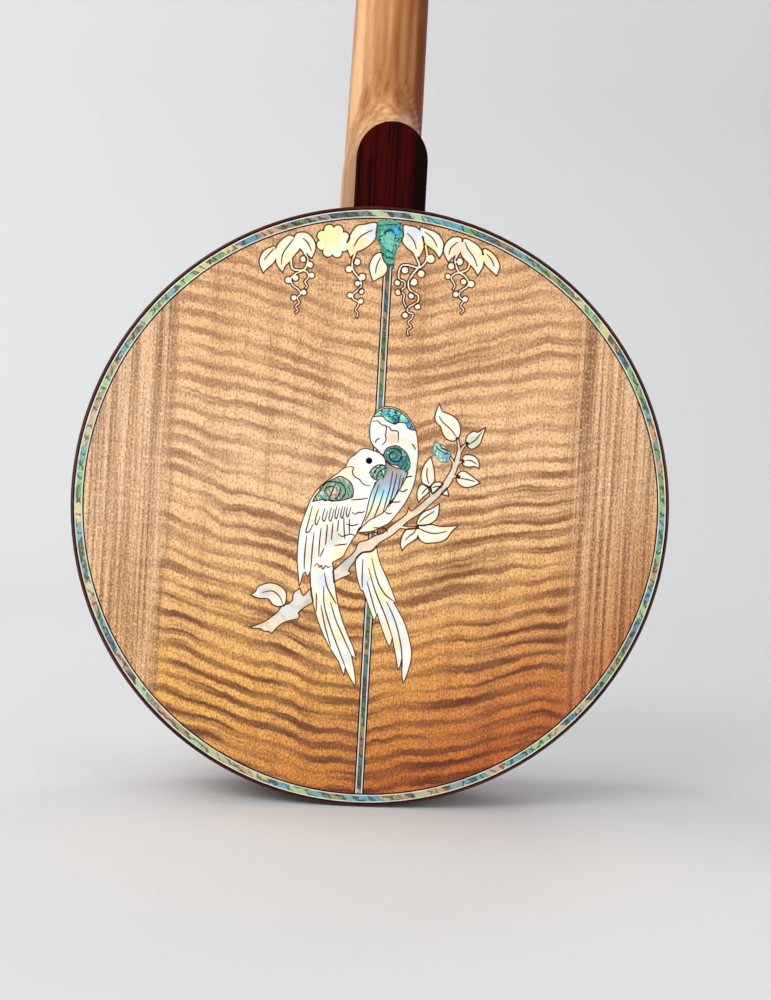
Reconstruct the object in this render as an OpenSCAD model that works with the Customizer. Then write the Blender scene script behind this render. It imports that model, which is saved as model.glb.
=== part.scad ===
// Five-string resonator banjo as separate pieces.
// The neck points up (+Z), the resonator's flat back faces -Y and the head faces +Y.
// Modules are drawn about the centre of the pot, with y = 0 on the flat back.
// placed() then moves each one so that the origin is the hanging point behind the nut.

/* [Resonator] */
// Outer diameter of the resonator
resonator_d = 349; // [348.6:0.2:349.4]
// Depth of the resonator, from its flat back to its front edge
resonator_depth = 70; // [69.6:0.1:70]
// Thickness of the resonator's bent side
side_t = 6; // [5.8:0.1:6]
// Width of the edge binding, seen from the back
binding_w = 1.4; // [1.3:0.1:1.6]
// Width of the abalone ring
pearl_ring_w = 3.1; // [2.8:0.1:3.2]
// Width of each white purfling line
line_w = 0.7; // [0.6:0.05:0.75]
// Width of each black purfling line
black_w = 0.8; // [0.7:0.05:0.85]
// Width of the abalone strip down the centre
strip_w = 2.6; // [2.4:0.1:2.8]
// Thickness of the face veneer and of everything inlaid in it
veneer_t = 1.5; // [1.2:0.1:1.8]

/* [Rim] */
// Outer diameter of the wood rim
rim_d = 279.4; // [279.3:0.1:279.5]
// Thickness of the wood rim
rim_t = 19; // [18.8:0.1:19.2]
// Distance from the resonator's back to the head
head_y = 105; // [104.8:0.1:105.2]
// Thickness of the flange plate
flange_t = 3.5; // [3.2:0.1:3.5]

/* [Neck] */
// Scale length, nut to bridge
scale_length = 669.9; // [669:0.1:671]
// Number of frets
fret_count = 22; // [20:1:22]
// Width of the neck at the nut
nut_w = 32; // [31.5:0.5:32.5]
// Length of the heel cap, from the resonator to its tip
heel_cap_l = 52; // [51:1:53]
// Width of the heel cap
heel_cap_w = 42; // [41:0.5:42]
// Backward tilt of the peghead, in degrees
peghead_tilt = 14; // [13.5:0.5:14.5]

/* [Strings and tuners] */
// Height of the bridge
bridge_h = 16; // [15.8:0.1:16.2]
// String spacing at the bridge
bridge_spacing = 10.7; // [10.4:0.1:11]
// String spacing at the nut
nut_spacing = 8; // [7.8:0.1:8.2]
// Radius of a tuner post
post_r = 3; // [2.9:0.1:3]

/* [Hidden] */
$fn = 96;

// Resonator rings, from the edge inwards
res_r = resonator_d / 2;
wall_r = res_r - side_t;
bind_r = res_r - binding_w;
black_r = bind_r - black_w;
white_r = black_r - line_w;
pearl_r = white_r - pearl_ring_w;
inner_white_r = pearl_r - line_w;
field_r = inner_white_r - black_w;
strip_r = strip_w / 2;
strip_white_r = strip_r + line_w;
strip_black_r = strip_white_r + black_w;
back_t = 6;
notch_w = 49.6;
notch_y = 46;

// Pot
rim_r = rim_d / 2;
rim_in = rim_r - rim_t;
rim_y = 24;
ring_y = 87;
band_y = 90.5;
hoop_y = 94.5;
hoop_top = 104.5;
hoop_r = 148.8;
flange_y = 67;
flange_r = wall_r - 0.9;
flange_collar_r = 143;
hook_r = 152.5;
hook_count = 24;
first_hook = 11.5;
hook_step = (360 - 2 * first_hook) / (hook_count - 1);
shank_r = 2;
screw_r = 160;
screw_shank_r = 2.4;
screw_angles = [for (k = [2.5, 8.5, 14.5, 20.5]) first_hook + k * hook_step];
rod_ys = [54, 77];
rod_r = 3.2;
bolt_r = 4;
head_t = 0.4;
bridge_w = 7;
bridge_cap = 1.8;
bridge_top_y = head_y + head_t + bridge_h;

// Neck
board_y = 110;
board_t = 5.5;
fret_h = 1;
bridge_z = -33;
nut_z = bridge_z + scale_length;
board_end = 151;
fifth_z = nut_z - 165;
cap_y = 13;
cap_t = 3;
heel_r = res_r + 0.5;
heel_top = res_r + heel_cap_l;
// Height at which the heel's sides start to round over
heel_spring = res_r + 29;
heel_fade = 50;
peg_z = nut_z - 153;
peg_y = 105;
nut_top_y = board_y + 7.2;
fifth_x = 22.2;
fifth_nut_y = board_y + board_t + 2.2;
peghead_t = 15;
overlay_t = 1.6;

// Tuner posts on the peghead as [x, height], and the strings' radii
posts = [[-18, 45], [-17, 104], [17, 104], [18, 45]];
string_r = [0.13, 0.15, 0.2, 0.3, 0.13];
pot_origin = [0, -93.5, -640];

// ---- curves ----
steps = 4;
function item(p, i) = p[(i + len(p)) % len(p)];
function xy(q) = [q[0], q[1]];
// A point with a third value is a sharp tip
function lean(p, i) = len(item(p, i)) > 2 ? [0, 0] : (xy(item(p, i + 1)) - xy(item(p, i - 1))) / 6;
function bezier(a, b, c, d, t) =
    a * pow(1 - t, 3) + 3 * b * t * pow(1 - t, 2) + 3 * c * t * t * (1 - t) + d * pow(t, 3);
function curve(a, la, lb, b, t) = bezier(xy(a), xy(a) + la, xy(b) - lb, xy(b), t);
// Smooth closed outline through the points
function smooth(p) = [for (i = [0 : len(p) - 1], k = [0 : steps - 1])
    curve(p[i], lean(p, i), lean(p, i + 1), item(p, i + 1), k / steps)];
function path_lean(p, i) = i == 0 || i == len(p) - 1 ? [0, 0] : (p[i + 1] - p[i - 1]) / 6;
// Smooth open path through the points
function smooth_path(p) = concat([for (i = [0 : len(p) - 2], k = [0 : steps - 2])
    curve(p[i], path_lean(p, i), path_lean(p, i + 1), p[i + 1], k / (steps - 1))], [p[len(p) - 1]]);
function unit(v) = v / norm(v);
function across(q, i) = let (d = unit(q[min(i + 1, len(q) - 1)] - q[max(i - 1, 0)])) [-d[1], d[0]];
// Outline of a stem of width w that thins towards its end
function stem(path, w) = let (q = smooth_path(path), n = len(q) - 1) concat(
    [for (i = [0 : n]) q[i] + across(q, i) * w * (0.5 - 0.2 * i / n)],
    [for (i = [n : -1 : 0]) q[i] - across(q, i) * w * (0.5 - 0.2 * i / n)]);
function ease(t) = let (u = min(max(t, 0), 1)) u * u * (3 - 2 * u);

// ---- shared helpers ----
module placed() { translate(pot_origin) children(); }
// A flat shape drawn in x and z, filling y0 to y1
module plate(y0, y1) { translate([0, y1, 0]) rotate([90, 0, 0]) linear_extrude(y1 - y0) children(); }
// A profile of [radius, y] points turned about the pot's axis
module turned(profile, angle = 360) { rotate([-90, 0, 0]) rotate_extrude(angle = angle) polygon(profile); }
// Children moved to an angle from the neck (towards +X) and a radius
module around(a, r) { rotate([0, a, 0]) translate([0, 0, r]) children(); }
// A cylinder along +Y from y0 to y1
module post(y0, y1, r) { translate([0, y0, 0]) rotate([-90, 0, 0]) cylinder(h = y1 - y0, r = r); }
// A hexagonal nut along +Y
module hex(y0, y1, r, bore) {
    translate([0, y0, 0]) rotate([-90, 0, 0]) difference() {
        cylinder(h = y1 - y0, r = r, $fn = 6);
        translate([0, 0, -1]) cylinder(h = y1 - y0 + 2, r = bore);
    }
}
module ring2d(outer, inner) { difference() { circle(outer); circle(inner); } }
module wire(a, b, r) {
    v = b - a;
    translate(a) rotate([0, acos(v[2] / norm(v)), atan2(v[1], v[0])]) cylinder(h = norm(v), r = r, $fn = 16);
}

// ---- inlay outlines, in x and z ----
left_bird = [[-3, 33], [-7, 34], [-10, 33], [-13, 30], [-16, 27.5], [-18, 23], [-21, 20], [-25, 16.5],
    [-30, 12.5], [-34, 8], [-37, 3], [-39, -3], [-41, -9], [-42.5, -16], [-43, -24], [-43, -32],
    [-42, -40], [-41, -47.5, 1], [-39.6, -41], [-38.2, -39, 1], [-36.5, -41.5, 1], [-35.2, -38, 1],
    [-34.5, -45], [-34, -51], [-32.5, -57], [-30.5, -63, 1], [-29.5, -66, 1], [-27, -72], [-24, -78],
    [-21, -83, 1], [-16, -90, 1], [-12.5, -98, 1], [-12, -93, 1], [-9, -99], [-5.5, -104, 1],
    [-6.5, -96], [-9, -86, 1], [-6, -88.5, 1], [-8, -82], [-11, -76], [-15, -67], [-18, -58],
    [-20, -50], [-22, -38], [-23, -33, 1], [-20, -31], [-17, -29], [-15, -25], [-12, -19],
    [-10, -16], [-7, -10], [-5, -4], [-4, 2], [-2.5, 9], [0, 15], [3, 21], [5, 26], [4.5, 29], [2, 31.5]];
right_bird = [[-2, 35.5, 1], [-4.2, 39], [-5, 44], [-4.7, 50], [-2, 56], [2, 58.5], [6, 59], [10, 58],
    [14, 56], [18, 52], [21, 47], [22.5, 42], [23.3, 36], [23.5, 30], [23, 22], [22, 15], [20, 9],
    [17, 3], [13, -3], [9, -8], [5, -10.5], [-1, -13.5], [-9, -14.5, 1], [-7, -4], [-4, 8], [0, 22],
    [2, 30], [1, 33]];
right_tail = [[2, -21], [3, -26], [5, -32], [8, -38], [12, -46], [15.5, -54, 1], [14, -54.5, 1],
    [17, -59], [21, -66], [24, -74], [26, -82], [26, -88], [24.5, -95], [22.5, -101, 1], [21.5, -95],
    [21, -86], [20, -91], [19, -93.5, 1], [18, -88], [16, -80], [14.5, -75], [14, -78], [13, -80, 1],
    [11, -76], [8, -69], [5, -61, 1], [3.5, -65.5, 1], [1.5, -61], [-1, -55], [-4, -48, 1],
    [-5.2, -48, 1], [-7, -43], [-8.5, -37], [-9, -30], [-6, -24], [0, -20]];
right_wing = [[5, 27], [9, 25], [14, 23.5], [18.7, 21.5, 1], [17, 17], [14, 11], [11, 6], [8, 2],
    [6, -2], [1, -5.5], [-3, -8], [-8.5, -14.2, 1], [-7, -9], [-5, -3], [-4, 3], [-3, 8], [0, 15], [3, 21]];
shoulder_left = [[-36.3, 1.5, 1], [-35, 5], [-32, 9], [-29, 13], [-25, 15.6], [-21, 17.5], [-17, 16],
    [-14, 13.5], [-12.5, 9], [-13, 5.3, 1], [-18, 3.5], [-24, 2.5], [-30, 3]];
cheek_left = [[0, 25], [4, 25.3], [6.2, 23, 1], [5, 19], [3.5, 16], [1, 16], [-2, 17], [-4, 20], [-3, 22.5]];
crown_right = [[-4, 52.5, 1], [-2.2, 55.3], [2, 58], [6, 58.5], [10, 57.5], [13.8, 55.5], [17.7, 51.6],
    [21.2, 46, 1], [17, 47], [15, 50], [11, 50], [9, 49], [4, 51], [2, 53], [-1, 53]];
shoulder_right = [[3.5, 32], [5, 35], [8, 36.5], [11, 37], [14, 35.5], [17, 33], [19, 29], [19.5, 25],
    [18, 22, 1], [15, 23], [12, 25], [9, 25.5], [6, 27], [4, 29]];
branch_outline = [[-68, -73, 1], [-62, -73.2, 1], [-60, -74.6, 1], [-57.5, -74.4, 1], [-55.5, -75.6, 1],
    [-54, -73.5], [-50, -69.5], [-45, -67.5], [-41, -66.3], [-40.3, -64.6], [-41, -63], [-38, -60],
    [-33, -56.5], [-28, -51], [-22, -45], [-17, -41.5], [-12, -39], [-13.3, -37], [-10, -31.5],
    [-6, -26.5], [0, -25], [4, -20], [10, -16], [15, -11.5], [20, -6.5], [24, -3.5], [28, -0.5],
    [33, 4.5], [39, 10.5], [42.6, 15], [45.6, 21.5], [47, 26], [48.4, 32], [48.6, 36, 1],
    [46.6, 36, 1], [45.8, 32], [44.3, 26.5], [42.5, 22.5], [39.5, 17], [36.5, 13], [31, 7.5],
    [26, 2.8], [21.5, -0.8], [20, 1.2, 1], [19, -2.6], [15, -6.3], [10, -10.5], [6, -14.5], [2, -16],
    [-3, -19], [-8, -21], [-10, -26], [-17, -33], [-22, -38], [-28, -44], [-34.5, -49], [-38, -53],
    [-39.7, -52], [-40.7, -49.2, 1], [-44, -52], [-44.4, -56], [-47, -58.5], [-50, -59.5],
    [-53, -63.7], [-56, -66.3], [-60, -69.3], [-64, -71.3]];
twigs = [[[47.5, 35.5], [47, 40], [46, 43]], [[48, 35], [50, 38.6], [52.5, 40.5]],
    [[44.8, 26], [44.5, 29], [42.3, 32]], [[45.8, 26.5], [48, 29], [50.5, 30]],
    [[42.8, 19], [46, 21], [48.5, 20.4]], [[33.5, 6.5], [32.5, 9.5], [31.5, 14]],
    [[14, -10], [20, -10.6], [26, -10]]];
leaf_outlines = [
    [[46, 43], [47.5, 46], [47, 50.5], [45, 54], [41, 56.5], [36.5, 58], [34.5, 62, 1], [33, 58],
        [32.5, 54], [34, 51], [36, 49.5], [37.5, 45.5], [40, 42.5], [43.5, 41.5]],
    [[51.5, 41], [51.5, 43.5], [53, 46], [56, 47.5], [58, 47], [62, 50, 1], [60.5, 44.5],
        [59.5, 41], [57, 38.5], [54.5, 37.5], [52.5, 39]],
    [[50, 32], [51.5, 33.5], [55, 33.5], [58, 32], [59.5, 29], [59.5, 26.5, 1], [57, 27.5],
        [54, 27], [51, 27.5], [50, 29.5]],
    [[47, 20], [48, 22.5], [50.5, 24], [54, 22.5], [60.5, 18, 1], [57, 16], [53, 15], [49.5, 16],
        [47.5, 18]],
    [[31, 31, 1], [28, 27], [26.5, 22], [26.5, 18], [28, 15.5], [31, 14], [33, 16], [34, 19], [32.5, 27]],
    [[30.5, 14, 1], [27, 15], [25, 12.5], [24.5, 9], [25.5, 5, 1], [28, 8], [31, 11]],
    [[32, 12], [33, 15.5], [36, 16.8], [39, 16], [41.5, 13.5], [42.5, 9.5, 1], [40, 10], [37, 10.5],
        [34, 10.5]],
    [[25.5, -8], [26.5, -4], [29, -1], [33, 1], [37.5, 4, 1], [37.5, 0], [36.5, -4], [33.5, -7], [29, -8.5]],
    [[25, -10], [29, -8.8], [34, -8.2], [40, -9], [49, -8, 1], [46, -11], [43, -15.5], [39.5, -17.5],
        [34, -18.5], [30, -18.5], [27, -16]],
    [[25, -10], [20, -11.5], [17.5, -15], [16.5, -20], [17.5, -23.5, 1], [20, -20.5], [24, -17.5], [26, -15]],
    [[-68.5, -54, 1], [-66, -52], [-65, -49.5], [-62.5, -48], [-58, -46.8], [-54, -47.5], [-50, -50],
        [-48.5, -53], [-48.7, -57], [-49.5, -59.2, 1], [-53, -59.8], [-56, -58.5], [-58, -56],
        [-60, -55.5], [-64, -55.5]]];
abalone_leaf = [[33, 41, 1], [36, 39.5], [40, 37], [42.5, 35], [43, 33], [41.5, 29.5], [39, 28.5],
    [36, 29.5], [33, 33], [32, 37]];
garland_leaves = [
    [[-65.5, 147], [-68, 146.5], [-71.5, 144.5], [-73.5, 141], [-74, 137], [-71.5, 132, 1], [-69, 135],
        [-66, 138], [-64.5, 142]],
    [[-57, 154], [-61, 152], [-64.5, 147.5], [-65, 142], [-64, 137], [-60.5, 133, 1], [-59.5, 136],
        [-57, 139], [-53.5, 144], [-51.5, 147], [-53, 151]],
    [[-54, 155], [-49, 156.3], [-45.5, 154.5], [-43, 151], [-42.5, 147], [-44.3, 142, 1], [-47, 144],
        [-50, 146], [-54.5, 150]],
    [[-8, 164.3], [-15, 163], [-19, 162], [-22, 158], [-24, 152], [-24, 149], [-22, 144, 1], [-19, 147],
        [-15, 149], [-10.5, 152.5], [-8, 157]],
    [[-3.5, 147], [-6.5, 147], [-9, 144.5], [-10.5, 140], [-10, 136], [-8, 131, 1], [-5, 133],
        [-2, 135], [-0.5, 138], [-1, 141]],
    [[8, 164], [11, 164], [15, 163.5], [18, 161], [19.5, 157], [20, 152], [17.5, 146, 1], [15, 148.5],
        [12, 150.5], [9, 153], [7.5, 156]],
    [[18, 163.8], [21, 163], [26, 161.6], [29, 159.5], [31.5, 155], [31, 150], [29.5, 147, 1],
        [27, 150.5], [24, 152.5], [20.5, 155], [19.5, 158], [17.5, 161.5]],
    [[42, 158.6], [38, 159.4], [35, 158], [32.5, 154.5], [32, 150.5], [35, 145, 1], [37, 147.5],
        [40, 149.5], [42, 151.5]],
    [[43, 158.6], [48, 157.5], [52, 155], [54.5, 151.5], [55.5, 147], [55, 143], [52.5, 138.5, 1],
        [50.5, 141.5], [47.5, 144.5], [44, 147.5], [42, 151]],
    [[55, 153.5], [58, 153], [61, 151], [63.5, 148], [65, 144], [63.5, 139, 1], [60.5, 141.5],
        [57.5, 144], [55.5, 147]]];
garland_knot = [[-7, 165.6], [-4, 166.3], [2, 166.4], [6, 165.8], [8, 161], [8, 157], [5.5, 152], [4, 147],
    [3.5, 138.5, 1], [1, 140], [-2, 142], [-4, 146], [-5.5, 152], [-8, 157], [-8, 161]];
flower_at = [-32.5, 152.5];
vines = [
    [[-50, 147], [-48, 144], [-46.5, 141], [-47, 137], [-49, 134.5], [-52, 133], [-55, 130.5],
        [-55.5, 128], [-54, 125.5], [-51, 123.5], [-49.5, 121], [-51.5, 118.5], [-50, 116],
        [-52, 113.5], [-50.5, 111.5], [-52, 110]],
    [[-56, 141], [-55.5, 136], [-53, 134.5], [-48, 134.5], [-45.5, 132.5], [-46, 130], [-47.5, 128],
        [-46, 126], [-47, 124]],
    [[-19, 148], [-20.5, 142], [-20.5, 137.5], [-18, 134], [-15.5, 131], [-15, 127.5], [-17, 125],
        [-19.5, 122.5], [-19, 120], [-16, 118.5], [-16, 116.5], [-17.5, 114], [-16, 112], [-16.5, 109.5]],
    [[14.5, 149.5], [17.5, 144], [18, 141], [15, 137], [12.5, 132], [13, 128], [15.5, 126],
        [18.5, 124.5], [18.5, 121], [16, 119], [13, 117], [13, 114.5], [16, 113.5], [15.5, 111],
        [13.5, 108.5], [15.5, 106], [13.5, 104], [14, 101]],
    [[21, 154], [22.5, 147], [21, 143], [18, 140.5], [12, 141.5], [8, 141], [6.5, 137], [7, 133],
        [10, 132], [10.5, 129], [8.5, 126.5], [10.5, 124], [10, 121], [12, 117]],
    [[41, 151], [39, 147], [39.5, 143], [41.5, 139.5], [45, 137.5], [47.5, 134], [46.5, 131],
        [43, 128.5], [42.5, 125.5], [45, 123], [43.5, 120], [45.5, 118], [44, 115.5]],
    [[47.5, 145.5], [46.5, 141.5], [43, 139.5], [39.5, 138.5], [37, 136], [38.5, 133.5],
        [39.5, 131.5], [38.5, 129]]];
// Berries as [x, z, radius]
berries = [[-49, 141, 1.7], [-45, 138, 1.7], [-43.8, 132, 1.6], [-53, 130, 1.7], [-57, 128.5, 1.8],
    [-47.8, 122, 1.6], [-53.2, 118.5, 1.5], [-18, 141.5, 1.9], [-22.5, 137, 1.9], [-14.5, 133, 1.9],
    [-17, 129, 1.6], [-14.6, 124.6, 1.4], [-21, 122, 1.5], [-14.6, 119, 1.5], [24.5, 146, 2.4],
    [10, 138.5, 1.9], [19.5, 137, 2], [15.5, 132, 2.1], [6, 131, 1.6], [6.8, 125.5, 1.6],
    [14.5, 124, 1.6], [18.5, 118, 1.6], [11.5, 112.5, 1.6], [41.5, 145.5, 2], [36.8, 142.5, 1.9],
    [35.2, 136.5, 1.5], [44.5, 134, 1.6], [49, 133, 1.9], [40.4, 126.5, 1.6], [46, 124, 1.6]];

// ---- inlay shapes, in the order in which they cover each other ----
module shape(p) { polygon(smooth(p)); }
module shapes(list) { for (p = list) shape(p); }
module stems(list, w) { for (p = list) polygon(stem(p, w)); }
module patches2d() {
    intersection() {
        shape(left_bird);
        shape(shoulder_left);
    }
    intersection() {
        shape(right_bird);
        shapes([crown_right, shoulder_right]);
    }
    shape(cheek_left);
}
module wing2d() {
    difference() {
        shape(right_wing);
        shape(left_bird);
        patches2d();
    }
}
module right_body2d() {
    difference() {
        shape(right_bird);
        shapes([left_bird, right_wing]);
        patches2d();
    }
}
module branch2d() {
    difference() {
        union() {
            shape(branch_outline);
            stems(twigs, 1.5);
        }
        shapes([left_bird, right_bird, abalone_leaf]);
        patches2d();
    }
}
module right_tail2d() {
    difference() {
        shape(right_tail);
        shapes([left_bird, right_bird, branch_outline]);
    }
}
module leaves2d() {
    difference() {
        shapes(leaf_outlines);
        shapes([branch_outline, left_bird, right_bird]);
        stems(twigs, 1.5);
    }
}
module flower2d() {
    translate(flower_at) {
        circle(5);
        for (k = [0 : 7]) rotate(22.5 + 45 * k) translate([6.8, 0]) circle(2.9);
    }
}
module vines2d() {
    stems(vines, 1.2);
    for (b = berries) translate([b[0], b[1]]) circle(b[2], $fn = 24);
}
module garland2d() {
    difference() {
        union() {
            shapes(garland_leaves);
            flower2d();
            vines2d();
        }
        shape(garland_knot);
    }
}
module inlays2d() {
    shapes([left_bird, right_bird, right_tail, cheek_left, branch_outline, abalone_leaf, garland_knot]);
    shapes(leaf_outlines);
    shapes(garland_leaves);
    stems(twigs, 1.5);
    flower2d();
    vines2d();
}
// Half of the field inside the rings, on the side given by the sign
module half_field2d(sign) {
    intersection() {
        circle(field_r);
        translate([sign > 0 ? strip_black_r : -strip_black_r - 2 * field_r, -field_r]) square([2 * field_r, 2 * field_r]);
    }
}
module centre_line2d(x0, x1) {
    difference() {
        intersection() {
            circle(field_r);
            union() {
                translate([x0, -field_r]) square([x1 - x0, 2 * field_r]);
                if (x0 > 0) translate([-x1, -field_r]) square([x1 - x0, 2 * field_r]);
            }
        }
        inlays2d();
    }
}
module face() { plate(0, veneer_t) children(); }

// ---- resonator ----
module half_veneer(sign) {
    color("peru") placed() face() difference() {
        half_field2d(sign);
        inlays2d();
    }
}
module veneer_left() { half_veneer(-1); }
module veneer_right() { half_veneer(1); }
module back_core() { color("burlywood") placed() post(veneer_t, back_t, bind_r); }
module notch_cut() {
    translate([-notch_w / 2, notch_y, wall_r - 20]) cube([notch_w, resonator_depth, 40]);
}
module resonator_side() {
    color("sienna") placed() difference() {
        union() {
            turned([[wall_r, back_t], [bind_r, back_t], [bind_r, back_t + 2], [res_r, back_t + 2],
                [res_r, resonator_depth - 7], [bind_r, resonator_depth - 7],
                [bind_r, resonator_depth], [wall_r, resonator_depth]]);
            turned([[wall_r - 6, back_t], [wall_r, back_t], [wall_r, back_t + 8],
                [wall_r - 2.5, back_t + 8]]);
        }
        notch_cut();
    }
}
module edge_binding() {
    round_r = 1;
    arc = [for (a = [0 : 15 : 90]) [sin(a), 1 - cos(a)] * round_r];
    color("#4a1a10") placed() {
        turned(concat([[bind_r, 0]], [for (p = arc) [res_r - round_r + p[0], p[1]]],
            [[res_r, back_t + 2], [bind_r, back_t + 2]]));
        difference() {
            turned(concat([[bind_r, resonator_depth]],
                [for (p = arc) [res_r - round_r + p[0], resonator_depth - p[1]]],
                [[res_r, resonator_depth - 7], [bind_r, resonator_depth - 7]]));
            notch_cut();
        }
    }
}
module abalone_purfling() {
    color("mediumaquamarine") placed() face() {
        ring2d(white_r, pearl_r);
        centre_line2d(-strip_r, strip_r);
    }
}
module purfling_white() {
    color("white") placed() face() {
        ring2d(black_r, white_r);
        ring2d(pearl_r, inner_white_r);
        centre_line2d(strip_r, strip_white_r);
    }
}
module purfling_black() {
    color("#181410") placed() face() {
        ring2d(bind_r, black_r);
        ring2d(inner_white_r, field_r);
        centre_line2d(strip_white_r, strip_black_r);
    }
}
module inlay_left_bird() {
    color("ivory") placed() face() difference() {
        shape(left_bird);
        patches2d();
    }
}
module inlay_right_bird() {
    color("ivory") placed() face() {
        right_body2d();
        right_tail2d();
    }
}
module inlay_right_wing() { color("lightsteelblue") placed() face() wing2d(); }
module inlay_abalone() {
    color("teal") placed() face() {
        patches2d();
        shapes([abalone_leaf, garland_knot]);
    }
}
module inlay_branch() { color("lightgray") placed() face() branch2d(); }
module inlay_leaves() { color("ivory") placed() face() leaves2d(); }
module inlay_garland() { color("ivory") placed() face() garland2d(); }
module resonator_lugs() {
    color("silver") placed() for (a = screw_angles) around(a, 0) difference() {
        intersection() {
            translate([-9, 50, screw_r - 6]) cube([18, flange_y - flange_t - 50.1, 20]);
            post(40, 70, wall_r - 0.1);
        }
        translate([0, 0, screw_r]) post(40, 70, screw_shank_r + 0.2);
    }
}
module thumb_screw(i) {
    color("silver") placed() around(screw_angles[i - 1], screw_r) {
        post(52, flange_y + 1.2, screw_shank_r);
        difference() {
            post(flange_y + 0.05, flange_y + 1.2, 5.5);
            post(flange_y, flange_y + 2, 2.3);
        }
        intersection() {
            post(flange_y + 1.2, flange_y + 10, 6.8);
            union() {
                post(flange_y + 1.2, flange_y + 3, 4.5);
                translate([-7, flange_y + 2, -1.6]) cube([14, 8, 3.2]);
            }
        }
    }
}
module thumb_screw_1() { thumb_screw(1); }
module thumb_screw_2() { thumb_screw(2); }
module thumb_screw_3() { thumb_screw(3); }
module thumb_screw_4() { thumb_screw(4); }

// ---- pot ----
module wood_rim() {
    color("burlywood") placed() difference() {
        turned([[rim_in, rim_y + 1], [rim_in + 1, rim_y], [rim_r - 1, rim_y], [rim_r, rim_y + 1],
            [rim_r, ring_y], [rim_in, ring_y]]);
        for (y = rod_ys) {
            translate([0, y, -rim_r - 5]) cylinder(h = rim_t + 10, r = rod_r + 0.1);
            translate([0, y, rim_in - 5]) cylinder(h = rim_t + 10, r = bolt_r + 0.1);
        }
    }
}
module tone_ring() {
    color("gold") placed() turned([[rim_in, ring_y], [rim_r - 0.2, ring_y], [rim_r - 0.2, head_y - 1],
        [rim_r - 1.2, head_y], [rim_r - 5, head_y], [rim_in + 2, head_y - 8], [rim_in, head_y - 10]]);
}
module flange() {
    y0 = flange_y - flange_t;
    // Gaps between hooks that take a thumb screw or the tailpiece's bracket have no slot
    slots = [for (k = [0 : hook_count - 2]) if (k % 6 != 2 && k != 11) k];
    color("silver") placed() difference() {
        turned([[rim_r + 0.02, y0 - 3.5], [flange_collar_r - 1, y0 - 3.5], [flange_collar_r, y0],
            [flange_r, y0], [flange_r, flange_y - 1], [flange_r - 1, flange_y], [rim_r + 0.02, flange_y]]);
        for (k = [0 : hook_count - 1]) around(first_hook + k * hook_step, hook_r)
            post(y0 - 5, flange_y + 5, shank_r + 0.3);
        for (a = screw_angles) around(a, screw_r)
            post(y0 - 5, flange_y + 5, screw_shank_r + 0.3);
        for (k = slots) rotate([0, first_hook + (k + 0.5) * hook_step, 0])
            plate(y0 - 5, flange_y + 5) flange_opening();
    }
}
// A curved slot between two hooks, with round ends
module flange_opening() {
    r = 159.5;
    half = 4.4;
    w = 3.5;
    intersection() {
        ring2d(r + w, r - w);
        polygon([[0, 0], [2 * r * sin(half), 2 * r * cos(half)], [-2 * r * sin(half), 2 * r * cos(half)]]);
    }
    for (s = [-1, 1]) rotate(s * half) translate([0, r]) circle(w - 0.4);
}
module tension_hoop() {
    color("silver") placed() turned([[rim_r + 1.5, hoop_y], [hoop_r, hoop_y], [hoop_r, hoop_y + 3],
        [hoop_r - 0.8, hoop_y + 4], [hoop_r - 0.8, hoop_top - 1], [hoop_r - 1.8, hoop_top],
        [rim_r + 2, hoop_top], [rim_r + 1.5, hoop_top - 0.5]]);
}
module head() {
    color("whitesmoke") placed() post(head_y, head_y + head_t, rim_r + 0.5);
}
// The head's turned-down edge and the stiff band that the tension hoop pulls on
module head_collar() {
    color("whitesmoke") placed() turned([[rim_r + 0.2, band_y], [rim_r + 4, band_y],
        [rim_r + 4, hoop_y - 0.1], [rim_r + 0.7, hoop_y - 0.1], [rim_r + 0.7, head_y],
        [rim_r + 0.2, head_y]]);
}
module bracket_hooks() {
    bend = 2.5;
    color("silver") placed() for (k = [0 : hook_count - 1]) around(first_hook + k * hook_step, hook_r) {
        post(54, hoop_top + 0.6, shank_r);
        translate([0, hoop_top + 0.6, -bend]) rotate([0, -90, 0])
            rotate_extrude(angle = 180) translate([bend, 0]) circle(shank_r);
        translate([0, 0, -2 * bend]) post(hoop_top + 0.02, hoop_top + 0.6, shank_r);
    }
}
module bracket_nuts() {
    y1 = flange_y - flange_t;
    color("silver") placed() for (k = [0 : hook_count - 1]) around(first_hook + k * hook_step, hook_r)
        hex(y1 - 7, y1, 4, shank_r + 0.05);
}
module rod_nut(z0, z1) {
    translate([0, 0, z0]) difference() {
        cylinder(h = z1 - z0, r = 5.5, $fn = 6);
        translate([0, 0, -1]) cylinder(h = z1 - z0 + 2, r = rod_r + 0.05);
    }
}
module coordinator_rods() {
    socket = 22;
    bolt_end = rim_in - 11;
    color("silver") placed() for (y = rod_ys) translate([0, y, 0]) {
        translate([0, 0, -rim_r - 10]) cylinder(h = rim_r + 10 + bolt_end - 8, r = rod_r);
        difference() {
            translate([0, 0, bolt_end - socket + 10]) cylinder(h = socket, r = 5.4);
            translate([0, 0, bolt_end - 8]) cylinder(h = socket, r = bolt_r + 0.05);
            translate([0, 0, bolt_end - socket]) cylinder(h = socket - 8 + 0.01, r = rod_r + 0.05);
        }
        translate([0, 0, bolt_end - 7.9]) cylinder(h = 190 - bolt_end, r = bolt_r);
        rod_nut(-rim_in + 0.5, -rim_in + 6.5);
        rod_nut(-rim_r - 8.8, -rim_r - 2.8);
    }
}
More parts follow.
